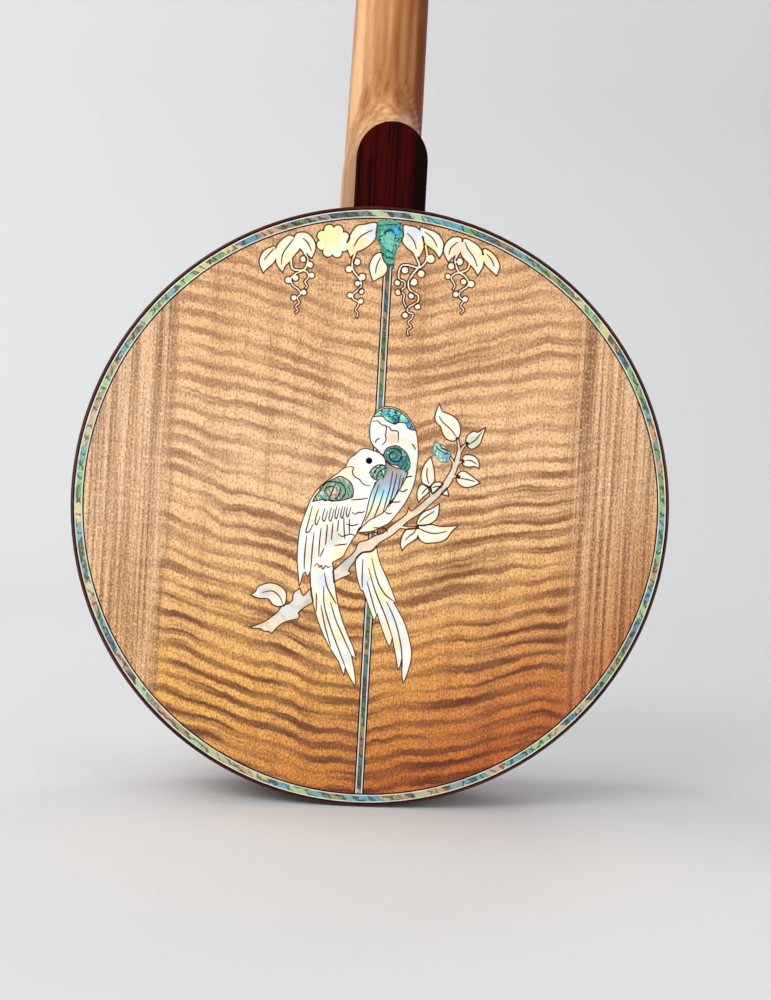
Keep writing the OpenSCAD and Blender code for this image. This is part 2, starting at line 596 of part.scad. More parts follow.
module armrest() {
    from = first_hook + 6 * hook_step - 5;
    sweep = 2 * hook_step + 10;
    color("silver") placed() {
        rotate([0, from - 90, 0]) turned([[139, 111.4], [149, 111.2], [155.5, 109.4], [159, 105.4],
            [159.8, 100], [161.2, 100], [160.4, 106], [156.4, 110.8], [149.4, 112.8], [139, 113]], sweep);
        for (k = [6, 8]) around(first_hook + k * hook_step, 0) difference() {
            union() {
                translate([-5, 84, 157.8]) cube([10, 21, 1.8]);
                translate([-5, 84, 150]) cube([10, 7, 7.8]);
            }
            translate([0, 0, hook_r]) post(80, 100, shank_r + 0.1);
        }
    }
}
module tailpiece_bracket() {
    color("silver") placed() {
        difference() {
            union() {
                translate([-9, 68.5, -rim_r - 2.6]) cube([18, 20, 2.4]);
                translate([-9, 68.5, -162]) cube([18, 2.5, 162 - rim_r - 2]);
            }
            translate([0, rod_ys[1], -rim_r - 10]) cylinder(h = 20, r = rod_r + 0.1);
        }
        translate([0, 0, -156]) post(71, 119, 2.5);
        translate([0, 0, -156]) hex(71, 75, 5.2, 2.55);
    }
}
module tailpiece_base() {
    color("silver") placed() difference() {
        union() {
            plate(110.8, 113) polygon([[-11, -163], [11, -163], [13, -150], [17, -96], [16, -93],
                [-16, -93], [-17, -96], [-13, -150]]);
            translate([-8, hoop_top, -147.5]) cube([16, 6.4, 5]);
            for (k = [-2 : 2]) translate([4.5 * k, 0, -97]) post(113, 116, 1.1);
            for (s = [-1, 1]) translate([s * 11.4 - 1.6, 113, -149]) difference() {
                cube([3.2, 5.6, 6]);
                translate([-1, 3.4, 3]) rotate([0, 90, 0]) cylinder(h = 6, r = 1.05);
            }
        }
        translate([0, 0, -156]) post(105, 120, 2.7);
    }
}
module tailpiece_cover() {
    color("silver") placed() {
        plate(117.6, 119) polygon([[-9.4, -143.6], [9.4, -143.6], [9.4, -142], [13.5, -142],
            [17.5, -96], [15, -92], [-15, -92], [-17.5, -96], [-13.5, -142], [-9.4, -142]]);
        translate([-9.4, 116.4, -146]) rotate([0, 90, 0]) cylinder(h = 18.8, r = 2.2);
        translate([-9.4, 117.2, -146]) cube([18.8, 1.4, 3]);
        translate([-12.8, 116.4, -146]) rotate([0, 90, 0]) cylinder(h = 25.6, r = 1);
    }
}
module tailpiece_thumb_nut() {
    color("silver") placed() translate([0, 0, -156]) difference() {
        union() {
            post(113.1, 116.5, 5.2);
            for (s = [-1, 1]) translate([s * 4.4 - 2.6, 113.8, -1]) cube([5.2, 7, 2]);
        }
        post(110, 125, 2.6);
    }
}
module bridge_body() {
    foot = head_y + head_t;
    top = bridge_top_y - bridge_cap;
    color("burlywood") placed() translate([0, 0, bridge_z - bridge_w / 2]) linear_extrude(bridge_w)
        difference() {
            polygon([[-41, foot], [-41, foot + 3.6], [-26, top], [26, top], [41, foot + 3.6], [41, foot]]);
            for (x = [-20, 20]) translate([x, head_y]) circle(9);
        }
}
// The cap slopes down towards the tailpiece, more steeply than the strings
module bridge_top() {
    top = bridge_top_y;
    color("#181410") placed() difference() {
        translate([0, 0, bridge_z - bridge_w / 2]) linear_extrude(bridge_w)
            polygon([[-26, top - bridge_cap], [26, top - bridge_cap], [25.4, top], [-25.4, top]]);
        translate([-30, top, bridge_z]) rotate([-7, 0, 0]) translate([0, 0, -10]) cube([60, 5, 10]);
    }
}

// ---- neck ----
function treble_edge(z) = -(nut_w / 2 + 9 * (nut_z - z) / (nut_z - board_end));
// Bass edge, which steps out below the fifth string's peg; shift moves the step along the neck
function bass_edge(z, shift) = let (
    upper = nut_w / 2 + 0.0159 * (nut_z - z),
    lower = 24 + 1.5 * (fifth_z + 20 - z) / 341)
    upper + (lower - upper) * (1 - ease((z - fifth_z - 20 + shift) / 20));
function back_y(z) = board_y - 16.5 - 3 * min(max((nut_z - z) / 360, 0), 1);
function heel_rise(s) = pow(1 - pow(1 - s, 2.2), 0.6);
function heel_fall(t) = 1 - pow(1 - pow(t, 1 / 0.6), 1 / 2.2);
// Lowest y of the neck at height z
function low_y(z) = let (s = (z - heel_top) / heel_fade, y0 = cap_y + cap_t)
    s <= 0 ? y0 : s >= 1 ? back_y(z) : y0 + (back_y(z) - y0) * heel_rise(s);
// Height of the heel's tip at depth y
function tip_z(y, z) = let (y0 = cap_y + cap_t, t = min(max((y - y0) / (back_y(z) - y0), 0), 1))
    heel_top + heel_fade * heel_fall(t);
function arch(u) = sqrt(max(1 - u * u, 0));
// Half the width of the heel, then of the rounded shaft, at depth y and height z
function heel_half(y, z) = let (
    t = min(max((y - cap_y - cap_t) / 75, 0), 1),
    a = heel_cap_w / 2 + 4 * t,
    tip = tip_z(y, z))
    z <= heel_spring ? a : z >= tip ? 0 : a * arch((z - heel_spring) / (tip - heel_spring));
function shaft_half(y, z) = let (
    u = (board_y - y) / (board_y - back_y(z)),
    w = (bass_edge(z, 0) - treble_edge(z)) / 2)
    u >= 1 ? 0 : w * pow(1 - pow(u, 2.4), 0.5);
neck_sides = 13;
function level(z, j) = low_y(z) + (board_y - low_y(z)) * (1 - cos(90 * j / neck_sides));
function half_width(y, z) = max(heel_half(y, z), shaft_half(y, z), 0.3);
function mid_x(y, z) = shaft_half(y, z) < heel_half(y, z) ? 0
    : (bass_edge(z, 0) + treble_edge(z)) / 2 * min(1, max(0, (y - 60) / 30));
function section(z) = concat(
    [for (j = [neck_sides : -1 : 0]) let (y = level(z, j)) [mid_x(y, z) - half_width(y, z), y, z]],
    [for (j = [0 : neck_sides]) let (y = level(z, j)) [mid_x(y, z) + half_width(y, z), y, z]]);
neck_zs = concat([for (z = [125 : 12 : 221]) z], [for (z = [225 : 4 : 285]) z],
    [for (z = [300 : 30 : 480]) z], [for (z = [484 : 4 : 524]) z], [for (z = [535 : 20 : 655]) z]);
module neck_blank() {
    n = 2 * (neck_sides + 1);
    m = len(neck_zs);
    // Each four-sided patch between two sections, as two triangles
    corners = [for (k = [0 : m - 2], i = [0 : n - 1]) [k * n + i, k * n + (i + 1) % n]];
    polyhedron(
        points = [for (z = neck_zs) each section(z)],
        faces = concat(
            [[for (i = [0 : n - 1]) i]],
            [[for (i = [n - 1 : -1 : 0]) (m - 1) * n + i]],
            [for (c = corners) [c[0], c[0] + n, c[1] + n]],
            [for (c = corners) [c[0], c[1] + n, c[1]]]));
}
// What the neck is cut away around: the pot, the hoop, the flange and the resonator's wall
module pot_cut() {
    g = 0.05;
    turned([[0, -5], [heel_r, -5], [heel_r, notch_y + 0.5], [rim_r + g, notch_y + 0.5],
        [rim_r + g, flange_y - flange_t - 3.7], [flange_collar_r + 0.4, flange_y - flange_t - 3.7],
        [flange_collar_r + 0.4, flange_y - flange_t - 0.3], [flange_r + 0.3, flange_y - flange_t - 0.3],
        [flange_r + 0.3, flange_y + 0.3], [rim_r + g, flange_y + 0.3], [rim_r + g, band_y - 0.5],
        [hoop_r + 1, band_y - 0.5], [hoop_r + 1, 130], [0, 130]]);
}
module on_peghead() { translate([0, board_y, nut_z + 6]) rotate([peghead_tilt, 0, 0]) children(); }
module neck() {
    color("#b5793f") placed() difference() {
        neck_blank();
        pot_cut();
        translate([-3, 98.5, 166]) cube([6, 20, 600]);
        for (y = rod_ys) translate([0, y, 100]) cylinder(h = 95, r = bolt_r + 0.15, $fn = 32);
        translate([8, peg_y, peg_z]) rotate([0, 90, 0]) cylinder(h = 40, r = 4.6, $fn = 32);
        on_peghead() translate([-50, -50, 0]) cube([100, 100, 60]);
    }
}
module heel_cap() {
    color("#2a100c") placed() difference() {
        plate(cap_y, cap_y + cap_t) union() {
            translate([-heel_cap_w / 2, 150]) square([heel_cap_w, heel_spring - 150]);
            intersection() {
                translate([-50, heel_spring]) square([100, 100]);
                polygon([for (a = [0 : 4 : 180])
                    [heel_cap_w / 2 * cos(a), heel_spring + (heel_top - heel_spring) * sin(a)]]);
            }
        }
        post(-5, 40, heel_r);
    }
}
function fret_z(n) = nut_z - scale_length * (1 - pow(2, -n / 12));
board_zs = concat([board_end, 300, 440], [for (z = [fifth_z + 2 : 2 : fifth_z + 22]) z], [nut_z]);
module fingerboard() {
    color("#1f120c") placed() difference() {
        plate(board_y, board_y + board_t) polygon(concat(
            [for (z = board_zs) [bass_edge(z, 18), z]],
            [[treble_edge(nut_z), nut_z], [treble_edge(board_end), board_end]]));
        for (n = [1 : fret_count])
            translate([-30, board_y + board_t - 1.6, fret_z(n) - 0.3]) cube([60, 5, 0.6]);
        for (d = dots) translate([d[0], 0, d[1]]) post(board_y + board_t - 0.8, board_y + 10, 2.6);
    }
}
dot_frets = [3, 5, 7, 10, 12, 15, 17, 19];
function dot_z(n) = (fret_z(n) + fret_z(n - 1)) / 2;
dots = concat([for (n = dot_frets) if (n != 12) [0.5, dot_z(n)]], [[-8, dot_z(12)], [9, dot_z(12)]]);
module fret_markers() {
    color("ivory") placed() for (d = dots) translate([d[0], 0, d[1]])
        post(board_y + board_t - 0.8, board_y + board_t, 2.55);
}
module frets() {
    color("silver") placed() for (n = [1 : fret_count]) {
        z = fret_z(n);
        a = treble_edge(z) + 0.3;
        b = bass_edge(z, 18) - 0.3;
        translate([a, board_y + board_t, z]) rotate([0, 90, 0]) intersection() {
            translate([0, -0.3, 0]) cylinder(h = b - a, r = fret_h + 0.3);
            translate([-3, 0, 0]) cube([6, 5, b - a]);
        }
        translate([a, board_y + board_t - 1.6, z - 0.28]) cube([b - a, 1.6, 0.56]);
    }
}
// The nut, and the fifth string's small one beside the fingerboard's step
module nut() {
    color("ivory") placed() difference() {
        union() {
            translate([-nut_w / 2, 0, nut_z]) linear_extrude(6) polygon([[0, board_y], [nut_w, board_y],
                [nut_w, nut_top_y - 0.8], [nut_w - 1, nut_top_y], [1, nut_top_y], [0, nut_top_y - 0.8]]);
            translate([fifth_x, 0, fifth_z + 1.5]) post(board_y + board_t, fifth_nut_y, 1.5);
        }
        translate([-20, nut_top_y, nut_z + 1]) rotate([peghead_tilt, 0, 0]) cube([40, 5, 10]);
    }
}
module truss_rod() {
    color("silver") placed() translate([0, 102, 170]) cylinder(h = nut_z + 18 - 170, r = 2.2);
}
module truss_rod_nut() {
    color("gold") placed() translate([0, 102, nut_z + 9]) difference() {
        cylinder(h = 7, r = 4, $fn = 6);
        translate([0, 0, -1]) cylinder(h = 20, r = 2.35);
    }
}
peghead_outline = [[-16, 0, 1], [-17, 10], [-24, 24], [-30, 36], [-30.5, 60], [-27, 80], [-27.5, 104],
    [-32, 126], [-33, 150], [-26, 168], [-12, 172], [0, 180], [12, 172], [26, 168], [33, 150],
    [32, 126], [27.5, 104], [27, 80], [30.5, 60], [30, 36], [24, 24], [17, 10], [16, 0, 1]];
module peghead2d() { shape(peghead_outline); }
module rod_pocket(y0, y1) { translate([-5.5, y0, -1]) cube([11, y1 - y0, 25]); }
module peghead() {
    color("#b5793f") placed() on_peghead() difference() {
        plate(-peghead_t, 0) peghead2d();
        for (p = posts) translate([p[0], 0, p[1]]) post(-30, 10, 5.1);
        rod_pocket(-12, 5);
    }
}
module peghead_overlay() {
    color("#1f120c") placed() on_peghead() difference() {
        plate(0, overlay_t) peghead2d();
        for (p = posts) translate([p[0], 0, p[1]]) post(-30, 10, 5.1);
        rod_pocket(-12, 5);
    }
}
module truss_rod_cover() {
    color("white") placed() on_peghead() difference() {
        plate(overlay_t, overlay_t + 2)
            shape([[-7, 2, 1], [-8, 14], [-6, 26], [0, 36, 1], [6, 26], [8, 14], [7, 2, 1]]);
        for (z = [5, 29]) translate([0, 0, z]) post(0, 10, 0.9);
    }
}
module at_post(i) {
    placed() on_peghead() translate([posts[i - 1][0], 0, posts[i - 1][1]]) children();
}
module tuner_housings() {
    color("silver") for (i = [1 : 4]) at_post(i) {
        difference() {
            union() {
                post(-peghead_t - 14, -peghead_t, 9);
                post(-peghead_t, overlay_t + 1.6, 5);
            }
            post(-peghead_t - 4, 10, post_r + 0.3);
            post(-peghead_t - 20, -peghead_t - 9, 3.3);
        }
        hex(overlay_t + 0.02, overlay_t + 3.4, 7, 5.05);
    }
}
module tuner_post(i) {
    color("silver") at_post(i) {
        difference() {
            post(-peghead_t - 3.5, 19, post_r);
            translate([0, 10, -5]) cylinder(h = 10, r = 0.8);
        }
        for (k = [0 : 3]) translate([0, 6.5 + 0.7 * k, 0]) rotate([-90, 0, 0])
            rotate_extrude() translate([post_r + 0.15, 0]) circle(0.3, $fn = 16);
    }
}
module tuner_button(i) {
    y0 = -peghead_t - 14;
    color("ivory") at_post(i) {
        post(y0 - 4, y0 + 4.5, 3);
        intersection() {
            turned([[0, y0 - 18], [7, y0 - 18], [9.5, y0 - 15], [10, y0 - 11], [6, y0 - 4],
                [4.5, y0 - 2], [0, y0 - 2]]);
            translate([-12, y0 - 20, -4]) cube([24, 30, 8]);
        }
    }
}
module tuner_post_1() { tuner_post(1); }
module tuner_post_2() { tuner_post(2); }
module tuner_post_3() { tuner_post(3); }
module tuner_post_4() { tuner_post(4); }
module tuner_button_1() { tuner_button(1); }
module tuner_button_2() { tuner_button(2); }
module tuner_button_3() { tuner_button(3); }
module tuner_button_4() { tuner_button(4); }
// The fifth string's peg, along +X from the side of the neck
module at_peg(x) { placed() translate([x, peg_y, peg_z]) rotate([0, 90, 0]) children(); }
module fifth_peg_case() {
    color("silver") {
        at_peg(12) difference() {
            cylinder(h = 15.5, r = 4.5);
            translate([0, 0, 6]) cylinder(h = 20, r = 2.8);
        }
        at_peg(26) difference() {
            cylinder(h = 21, r = 7);
            translate([0, 0, 1.5]) cylinder(h = 8, r = 5.4);
            translate([-10, -1, 1.5]) cube([20, 20, 8]);
            translate([0, 0, -1]) cylinder(h = 14, r = 2.8);
            translate([0, 0, 15]) cylinder(h = 10, r = 2.8);
        }
    }
}
module fifth_peg_post() {
    color("silver") at_peg(18.5) {
        cylinder(h = 19.5, r = 2.5);
        for (k = [0 : 2]) translate([0, 0, 12.5 + 0.6 * k])
            rotate_extrude() translate([2.6, 0]) circle(0.25, $fn = 16);
    }
}
module fifth_peg_button() {
    color("ivory") {
        at_peg(41.5) cylinder(h = 10, r = 2.5);
        placed() translate([51, peg_y, peg_z]) intersection() {
            rotate([0, 90, 0]) rotate_extrude()
                polygon([[0, 0], [4, 0], [5.5, 2], [9, 8], [8.5, 12], [6.5, 14], [0, 14]]);
            translate([-5, -3.2, -15]) cube([30, 6.4, 30]);
        }
    }
}

// ---- strings ----
function on_face(p) = [p[0], board_y + p[1] * cos(peghead_tilt) - p[2] * sin(peghead_tilt),
    nut_z + 6 + p[1] * sin(peghead_tilt) + p[2] * cos(peghead_tilt)];
// Where string i rests: on the tailpiece's pin, the bridge, its nut and its tuner's post
string_gap = 0.03;
function string_tail(i) = [(i - 2) * 4.5, 114.5, -95.6];
function string_saddle(i) = [(i - 2) * bridge_spacing, bridge_top_y + string_r[i] + string_gap, bridge_z];
function string_rest(i) = i < 4
    ? [(i - 1.5) * nut_spacing, nut_top_y + string_r[i] + string_gap, nut_z + 1]
    : [fifth_x + 1.2, fifth_nut_y + string_r[i] + string_gap, fifth_z + 2.7];
function string_end(i) = let (side = i < 2 ? 1 : -1) i < 4
    ? on_face([posts[i][0] + side * (post_r + 0.75), 7.5, posts[i][1] - 0.5])
    : [31.4, peg_y + 3.4, peg_z - 1];
// A straight wire from a to just short of b
module string_piece(a, b, r) { wire(a, b - 0.12 * unit(b - a), r); }
module strings() {
    color("silver") placed() for (i = [0 : 4]) {
        string_piece(string_tail(i), string_saddle(i), string_r[i]);
        string_piece(string_saddle(i), string_rest(i), string_r[i]);
        string_piece(string_rest(i), string_end(i), string_r[i]);
    }
}

// ---- the whole banjo, or one node ----
veneer_left();
veneer_right();
back_core();
resonator_side();
edge_binding();
abalone_purfling();
purfling_white();
purfling_black();
inlay_left_bird();
inlay_right_bird();
inlay_right_wing();
inlay_abalone();
inlay_branch();
inlay_leaves();
inlay_garland();
resonator_lugs();
thumb_screw_1();
thumb_screw_2();
thumb_screw_3();
thumb_screw_4();
wood_rim();
tone_ring();
flange();
tension_hoop();
head();
head_collar();
bracket_hooks();
bracket_nuts();
coordinator_rods();
armrest();
tailpiece_bracket();
tailpiece_base();
tailpiece_cover();
tailpiece_thumb_nut();
bridge_body();
bridge_top();
neck();
heel_cap();
fingerboard();
frets();
fret_markers();
nut();
truss_rod();
truss_rod_nut();
peghead();
peghead_overlay();
truss_rod_cover();
tuner_housings();
tuner_post_1();
tuner_post_2();
tuner_post_3();
tuner_post_4();
tuner_button_1();
tuner_button_2();
tuner_button_3();
tuner_button_4();
fifth_peg_case();
fifth_peg_post();
fifth_peg_button();
strings();
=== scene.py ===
import math

import bpy
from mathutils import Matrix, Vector


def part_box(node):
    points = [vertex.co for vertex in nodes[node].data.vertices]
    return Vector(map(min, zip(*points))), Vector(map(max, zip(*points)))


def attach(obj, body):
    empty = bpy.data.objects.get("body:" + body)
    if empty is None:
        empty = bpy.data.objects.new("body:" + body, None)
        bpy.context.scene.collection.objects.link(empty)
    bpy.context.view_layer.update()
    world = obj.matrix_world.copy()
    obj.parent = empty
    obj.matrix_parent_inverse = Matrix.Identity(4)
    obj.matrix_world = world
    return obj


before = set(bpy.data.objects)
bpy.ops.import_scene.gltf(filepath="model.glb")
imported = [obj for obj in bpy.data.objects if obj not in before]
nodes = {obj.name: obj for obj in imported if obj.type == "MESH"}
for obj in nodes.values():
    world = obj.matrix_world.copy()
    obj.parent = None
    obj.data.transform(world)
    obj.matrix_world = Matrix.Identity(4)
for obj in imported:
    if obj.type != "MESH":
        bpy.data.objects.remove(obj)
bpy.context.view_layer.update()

# The looks of a five-string resonator banjo, seen from its inlaid back.
# Values are in metres, and MM turns the drawings' millimetres into metres. A point on the back is [x, z] in
# millimetres from the pot's centre. Colours are screen values from 0 to 255.
MM = 0.001
rim_lo, rim_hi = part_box("edge_binding")
POT = (rim_lo + rim_hi) / 2
FACE_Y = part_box("veneer_left")[0][1]
RADIUS = (rim_hi.x - rim_lo.x) / 2


def on_back(x, z, y=0.0):
    """A point on the resonator's back, in metres, from millimetres about the pot's centre."""
    return Vector((POT.x + x * MM, FACE_Y + y * MM, POT.z + z * MM))


# ---------------------------------------------------------------- material graphs
def srgb(r, g, b):
    """Linear light from 0 to 255 screen values."""
    def one(v):
        v /= 255.0
        return v / 12.92 if v <= 0.04045 else ((v + 0.055) / 1.055) ** 2.4
    return one(r), one(g), one(b)


def flat(r, g, b):
    """A colour as a shader socket takes it."""
    return (*srgb(r, g, b), 1.0)


def deeper(colour, share):
    """The same colour at a share of its brightness."""
    return [v * share for v in colour]


class Graph:
    """A material and short calls that add nodes to it."""

    def __init__(self, name, roughness=0.4, metallic=0.0, **values):
        self.mat = bpy.data.materials.new(name)
        self.mat.use_nodes = True
        self.tree = self.mat.node_tree
        self.bsdf = self.tree.nodes["Principled BSDF"]
        self.set(Roughness=roughness, Metallic=metallic, **values)

    def set(self, **values):
        """Sets or links the material's own sockets, named with _ for each space."""
        for key, value in values.items():
            self.put(self.bsdf.inputs[key.replace("_", " ")], value)

    def put(self, socket, value):
        """Links a socket to another, or sets it to a constant."""
        if isinstance(value, bpy.types.NodeSocket):
            self.tree.links.new(value, socket)
        else:
            socket.default_value = value

    def node(self, kind, out=0, props=None, **values):
        """Adds a node, sets its properties and sockets, and gives one of its outputs."""
        made = self.tree.nodes.new("ShaderNode" + kind)
        for key, value in (props or {}).items():
            setattr(made, key, value)
        for key, value in values.items():
            self.put(made.inputs[key.replace("_", " ")], value)
        return made.outputs[out]

    def math(self, operation, a, b=0.0, kind="Math", out=0):
        made = self.tree.nodes.new("ShaderNode" + kind)
        made.operation = operation
        self.put(made.inputs[0], a)
        self.put(made.inputs[1], b)
        return made.outputs[out]

    def add(self, first, *others):
        for other in others:
            first = self.math("ADD", first, other)
        return first

    def times(self, first, *others):
        for other in others:
            first = self.math("MULTIPLY", first, other)
        return first

    def minus(self, a, b):
        return self.math("SUBTRACT", a, b)

    def place(self):
        """The point on the object, in metres about the pot's centre."""
        spot = self.node("TexCoord", out="Object")
        return self.math("SUBTRACT", spot, tuple(POT), kind="VectorMath")

    def split(self, vector):
        made = self.tree.nodes.new("ShaderNodeSeparateXYZ")
        self.put(made.inputs[0], vector)
        return tuple(made.outputs)

    def join(self, x, y, z):
        return self.node("CombineXYZ", X=x, Y=y, Z=z)

    def noise(self, vector, scale=1.0, detail=3.0, rough=0.5, distortion=0.0):
        return self.node("TexNoise", Vector=vector, Scale=scale, Detail=detail, Roughness=rough,
                         Distortion=distortion)

    def stretched(self, vector, sx, sy, sz, **more):
        """Noise whose cells are 1/sx by 1/sy by 1/sz metres."""
        return self.noise(self.math("MULTIPLY", vector, (sx, sy, sz), kind="VectorMath"), **more)

    def wander(self, spot, sx, sz, size):
        """A smooth drift over the back, by up to half of size either way."""
        return self.times(self.minus(self.stretched(spot, sx, 0, sz, detail=2.0), 0.5), size)

    def wave(self, vector, scale, distortion, detail_scale):
        """Wavy diagonal streaks, from 0 to 1."""
        return self.node("TexWave", out="Fac", props={"bands_direction": "DIAGONAL"}, Vector=vector,
                         Scale=scale, Distortion=distortion, Detail=3.0, Detail_Scale=detail_scale)

    def remap(self, value, low, high, to_low=0.0, to_high=1.0):
        """A value's range turned into another, clamped at both ends."""
        return self.node("MapRange", Value=value, From_Min=low, From_Max=high, To_Min=to_low, To_Max=to_high)

    def ramp(self, value, stops):
        """A colour that runs through the stops, each (position, colour)."""
        made = self.tree.nodes.new("ShaderNodeValToRGB")
        elements = made.color_ramp.elements
        while len(elements) < len(stops):
            elements.new(0.5)
        for element, (position, colour) in zip(elements, stops):
            element.position = position
            element.color = flat(*colour)
        self.put(made.inputs[0], value)
        return made.outputs[0]

    def mix(self, amount, a, b, mode="MIX"):
        """Two colours mixed. The node has sockets for each data type, and 6 and 7 are its colours."""
        made = self.tree.nodes.new("ShaderNodeMix")
        made.data_type = "RGBA"
        made.blend_type = mode
        self.put(made.inputs[0], amount)
        self.put(made.inputs[6], a)
        self.put(made.inputs[7], b)
        return made.outputs[2]

    def veil(self, base, colour, value, start, full, strength, mode="MIX"):
        """Lays a colour over the base: none where value is at start, strength of it where it is at full."""
        return self.mix(self.remap(value, start, full, 0.0, strength), base, flat(*colour), mode)

    def away_from(self, spot, x, z):
        """Distance in metres, in the back's plane, from a point given in millimetres."""
        level = self.math("MULTIPLY", spot, (1.0, 0.0, 1.0), kind="VectorMath")
        return self.math("DISTANCE", level, (x * MM, 0.0, z * MM), kind="VectorMath", out=1)

    def tinted(self, spot, colour, spots):
        """A colour with soft patches, each (x, z, radius in millimetres, colour, strength)."""
        fray = self.stretched(spot, 260, 0, 260, detail=2.0)
        for x, z, radius, tint, strength in spots:
            reach = self.add(self.away_from(spot, x, z), self.times(fray, 0.35 * radius * MM))
            colour = self.veil(colour, tint, reach, radius * MM * 1.15, radius * MM * 0.6, strength)
        return colour

    def bump(self, height, strength=0.2, distance=0.0002):
        self.set(Normal=self.node("Bump", Height=height, Strength=strength, Distance=distance))


def shade(mesh, angle=35):
    """Smooth shading up to edges sharper than an angle in degrees."""
    mesh.shade_smooth()
    mesh.set_sharp_from_angle(angle=math.radians(angle))


def dress(material, *names):
    """Gives CAD nodes a material and smooth shading up to sharp edges."""
    for name in names:
        mesh = nodes[name].data
        mesh.materials.clear()
        mesh.materials.append(material)
        shade(mesh)


# ---------------------------------------------------------------- woods
BAND_SLOPE = 0.22     # how far the bands fall towards the centre
BAND_PITCH = 0.0092   # from one band to the next
EDGE_FROM = 0.121     # where the straight-grained wood begins, from the centre line


def flame(g, spot):
    """The curly figure, and how dark it shows at each point."""
    x, _, z = g.split(spot)
    side = g.math("ABSOLUTE", x)
    # Height of each point along the fall of the bands, bent broadly and then jittered by the upright grain
    fall = g.add(g.minus(z, g.times(side, BAND_SLOPE)), g.wander(spot, 14, 7, 0.026),
                 g.wander(spot, 44, 30, 0.0060), g.wander(spot, 420, 40, 0.0026))
    regular = g.add(g.math("SINE", g.times(fall, 2 * math.pi / BAND_PITCH)), 1.0)
    odd = g.noise(g.join(g.times(x, 12.0), 0.0, g.times(fall, 190.0)), detail=2.0, rough=0.6)
    thin = g.noise(g.join(g.times(x, 30.0), 4.0, g.times(fall, 420.0)), detail=2.0)
    figure = g.add(g.times(regular, 0.13), g.times(odd, 0.95), g.times(thin, 0.34))
    # It is strong low on the back, weaker high up, and fades at the edges and in patches
    low = g.remap(z, 0.13, -0.05, 0.6, 1.0)
    edge = g.remap(g.add(side, g.wander(spot, 30, 30, 0.02)), 0.112, 0.14, 1.0, 0.35)
    patch = g.remap(g.stretched(spot, 16, 0, 26, detail=2.0), 0.34, 0.56, 0.45, 1.0)
    return figure, g.times(g.remap(figure, 0.86, 0.64), low, edge, patch)


def growth_zones(g, spot, base):
    """Broad upright growth zones, then straight-grained greyer wood at the edges, past a dark seam."""
    side = g.math("ABSOLUTE", g.split(spot)[0])
    base = g.veil(base, (150, 92, 46), g.stretched(spot, 75, 0, 1.8, detail=4.0), 0.46, 0.72, 0.45)
    outer = g.remap(g.add(side, g.wander(spot, 14, 6, 0.02)), EDGE_FROM - 0.005, EDGE_FROM + 0.003, 0.0, 0.7)
    straight = g.stretched(spot, 420, 0, 5.0, detail=4.0, rough=0.6)
    edge_wood = g.ramp(straight, [(0.40, (92, 54, 30)), (0.5, (188, 144, 108)), (0.60, (234, 194, 156))])
    seam = g.math("ABSOLUTE", g.minus(g.add(side, g.wander(spot, 20, 9, 0.016)), EDGE_FROM))
    return g.veil(g.mix(outer, base, edge_wood), (120, 74, 40), seam, 0.003, 0.0, 0.5)


def flamed_wood():
    """Bookmatched curly wood: bands fall towards the centre, pores and growth lines run up the back."""
    g = Graph("flamed_wood", roughness=0.36, Coat_Weight=0.25, Coat_Roughness=0.12, Specular_IOR_Level=0.3)
    spot = g.place()
    x, _, z = g.split(spot)
    figure, dark = flame(g, spot)
    rise = g.remap(g.add(z, g.wander(spot, 8, 8, 0.05)), -0.17, 0.17)
    pale = g.ramp(rise, [(0.0, (230, 158, 56)), (0.2, (236, 170, 76)), (0.4, (240, 186, 114)),
                         (0.56, (246, 198, 146)), (0.78, (240, 188, 134)), (1.0, (224, 174, 128))])
    deep = g.ramp(rise, [(0.0, (100, 42, 0)), (0.25, (112, 50, 0)), (0.45, (120, 60, 6)),
                         (0.65, (124, 70, 26)), (1.0, (116, 66, 28))])
    base = growth_zones(g, spot, g.mix(dark, pale, deep))
    # Upright grain, then dark specks with bright glints between them, then pores
    grain = g.stretched(spot, 900, 0, 26, detail=3.0, rough=0.6)
    base = g.veil(base, (122, 70, 26), grain, 0.54, 0.74, 0.5)
    speck = g.stretched(spot, 950, 0, 640, detail=2.0, rough=0.75)
    base = g.veil(base, (112, 58, 14), speck, 0.51, 0.68, 0.75)
    glint = g.times(g.remap(speck, 0.49, 0.32, 0.0, 0.7), g.remap(dark, 0.0, 1.0, 1.0, 0.2))
    base = g.mix(glint, base, flat(255, 220, 164))
    pores = g.stretched(spot, 1500, 0, 200, detail=2.0)
    base = g.veil(base, (104, 58, 18), pores, 0.60, 0.72, 0.5)
    # Painted shade: richer and darker towards the lower right
    base = g.veil(base, (206, 140, 52), g.minus(g.times(x, 0.6), z), 0.07, 0.19, 0.9, "MULTIPLY")
    g.set(Base_Color=base, Roughness=g.remap(dark, 0.0, 1.0, 0.34, 0.44))
    g.bump(g.add(pores, g.times(figure, 0.6)), strength=0.03, distance=0.0003)
    return g.mat


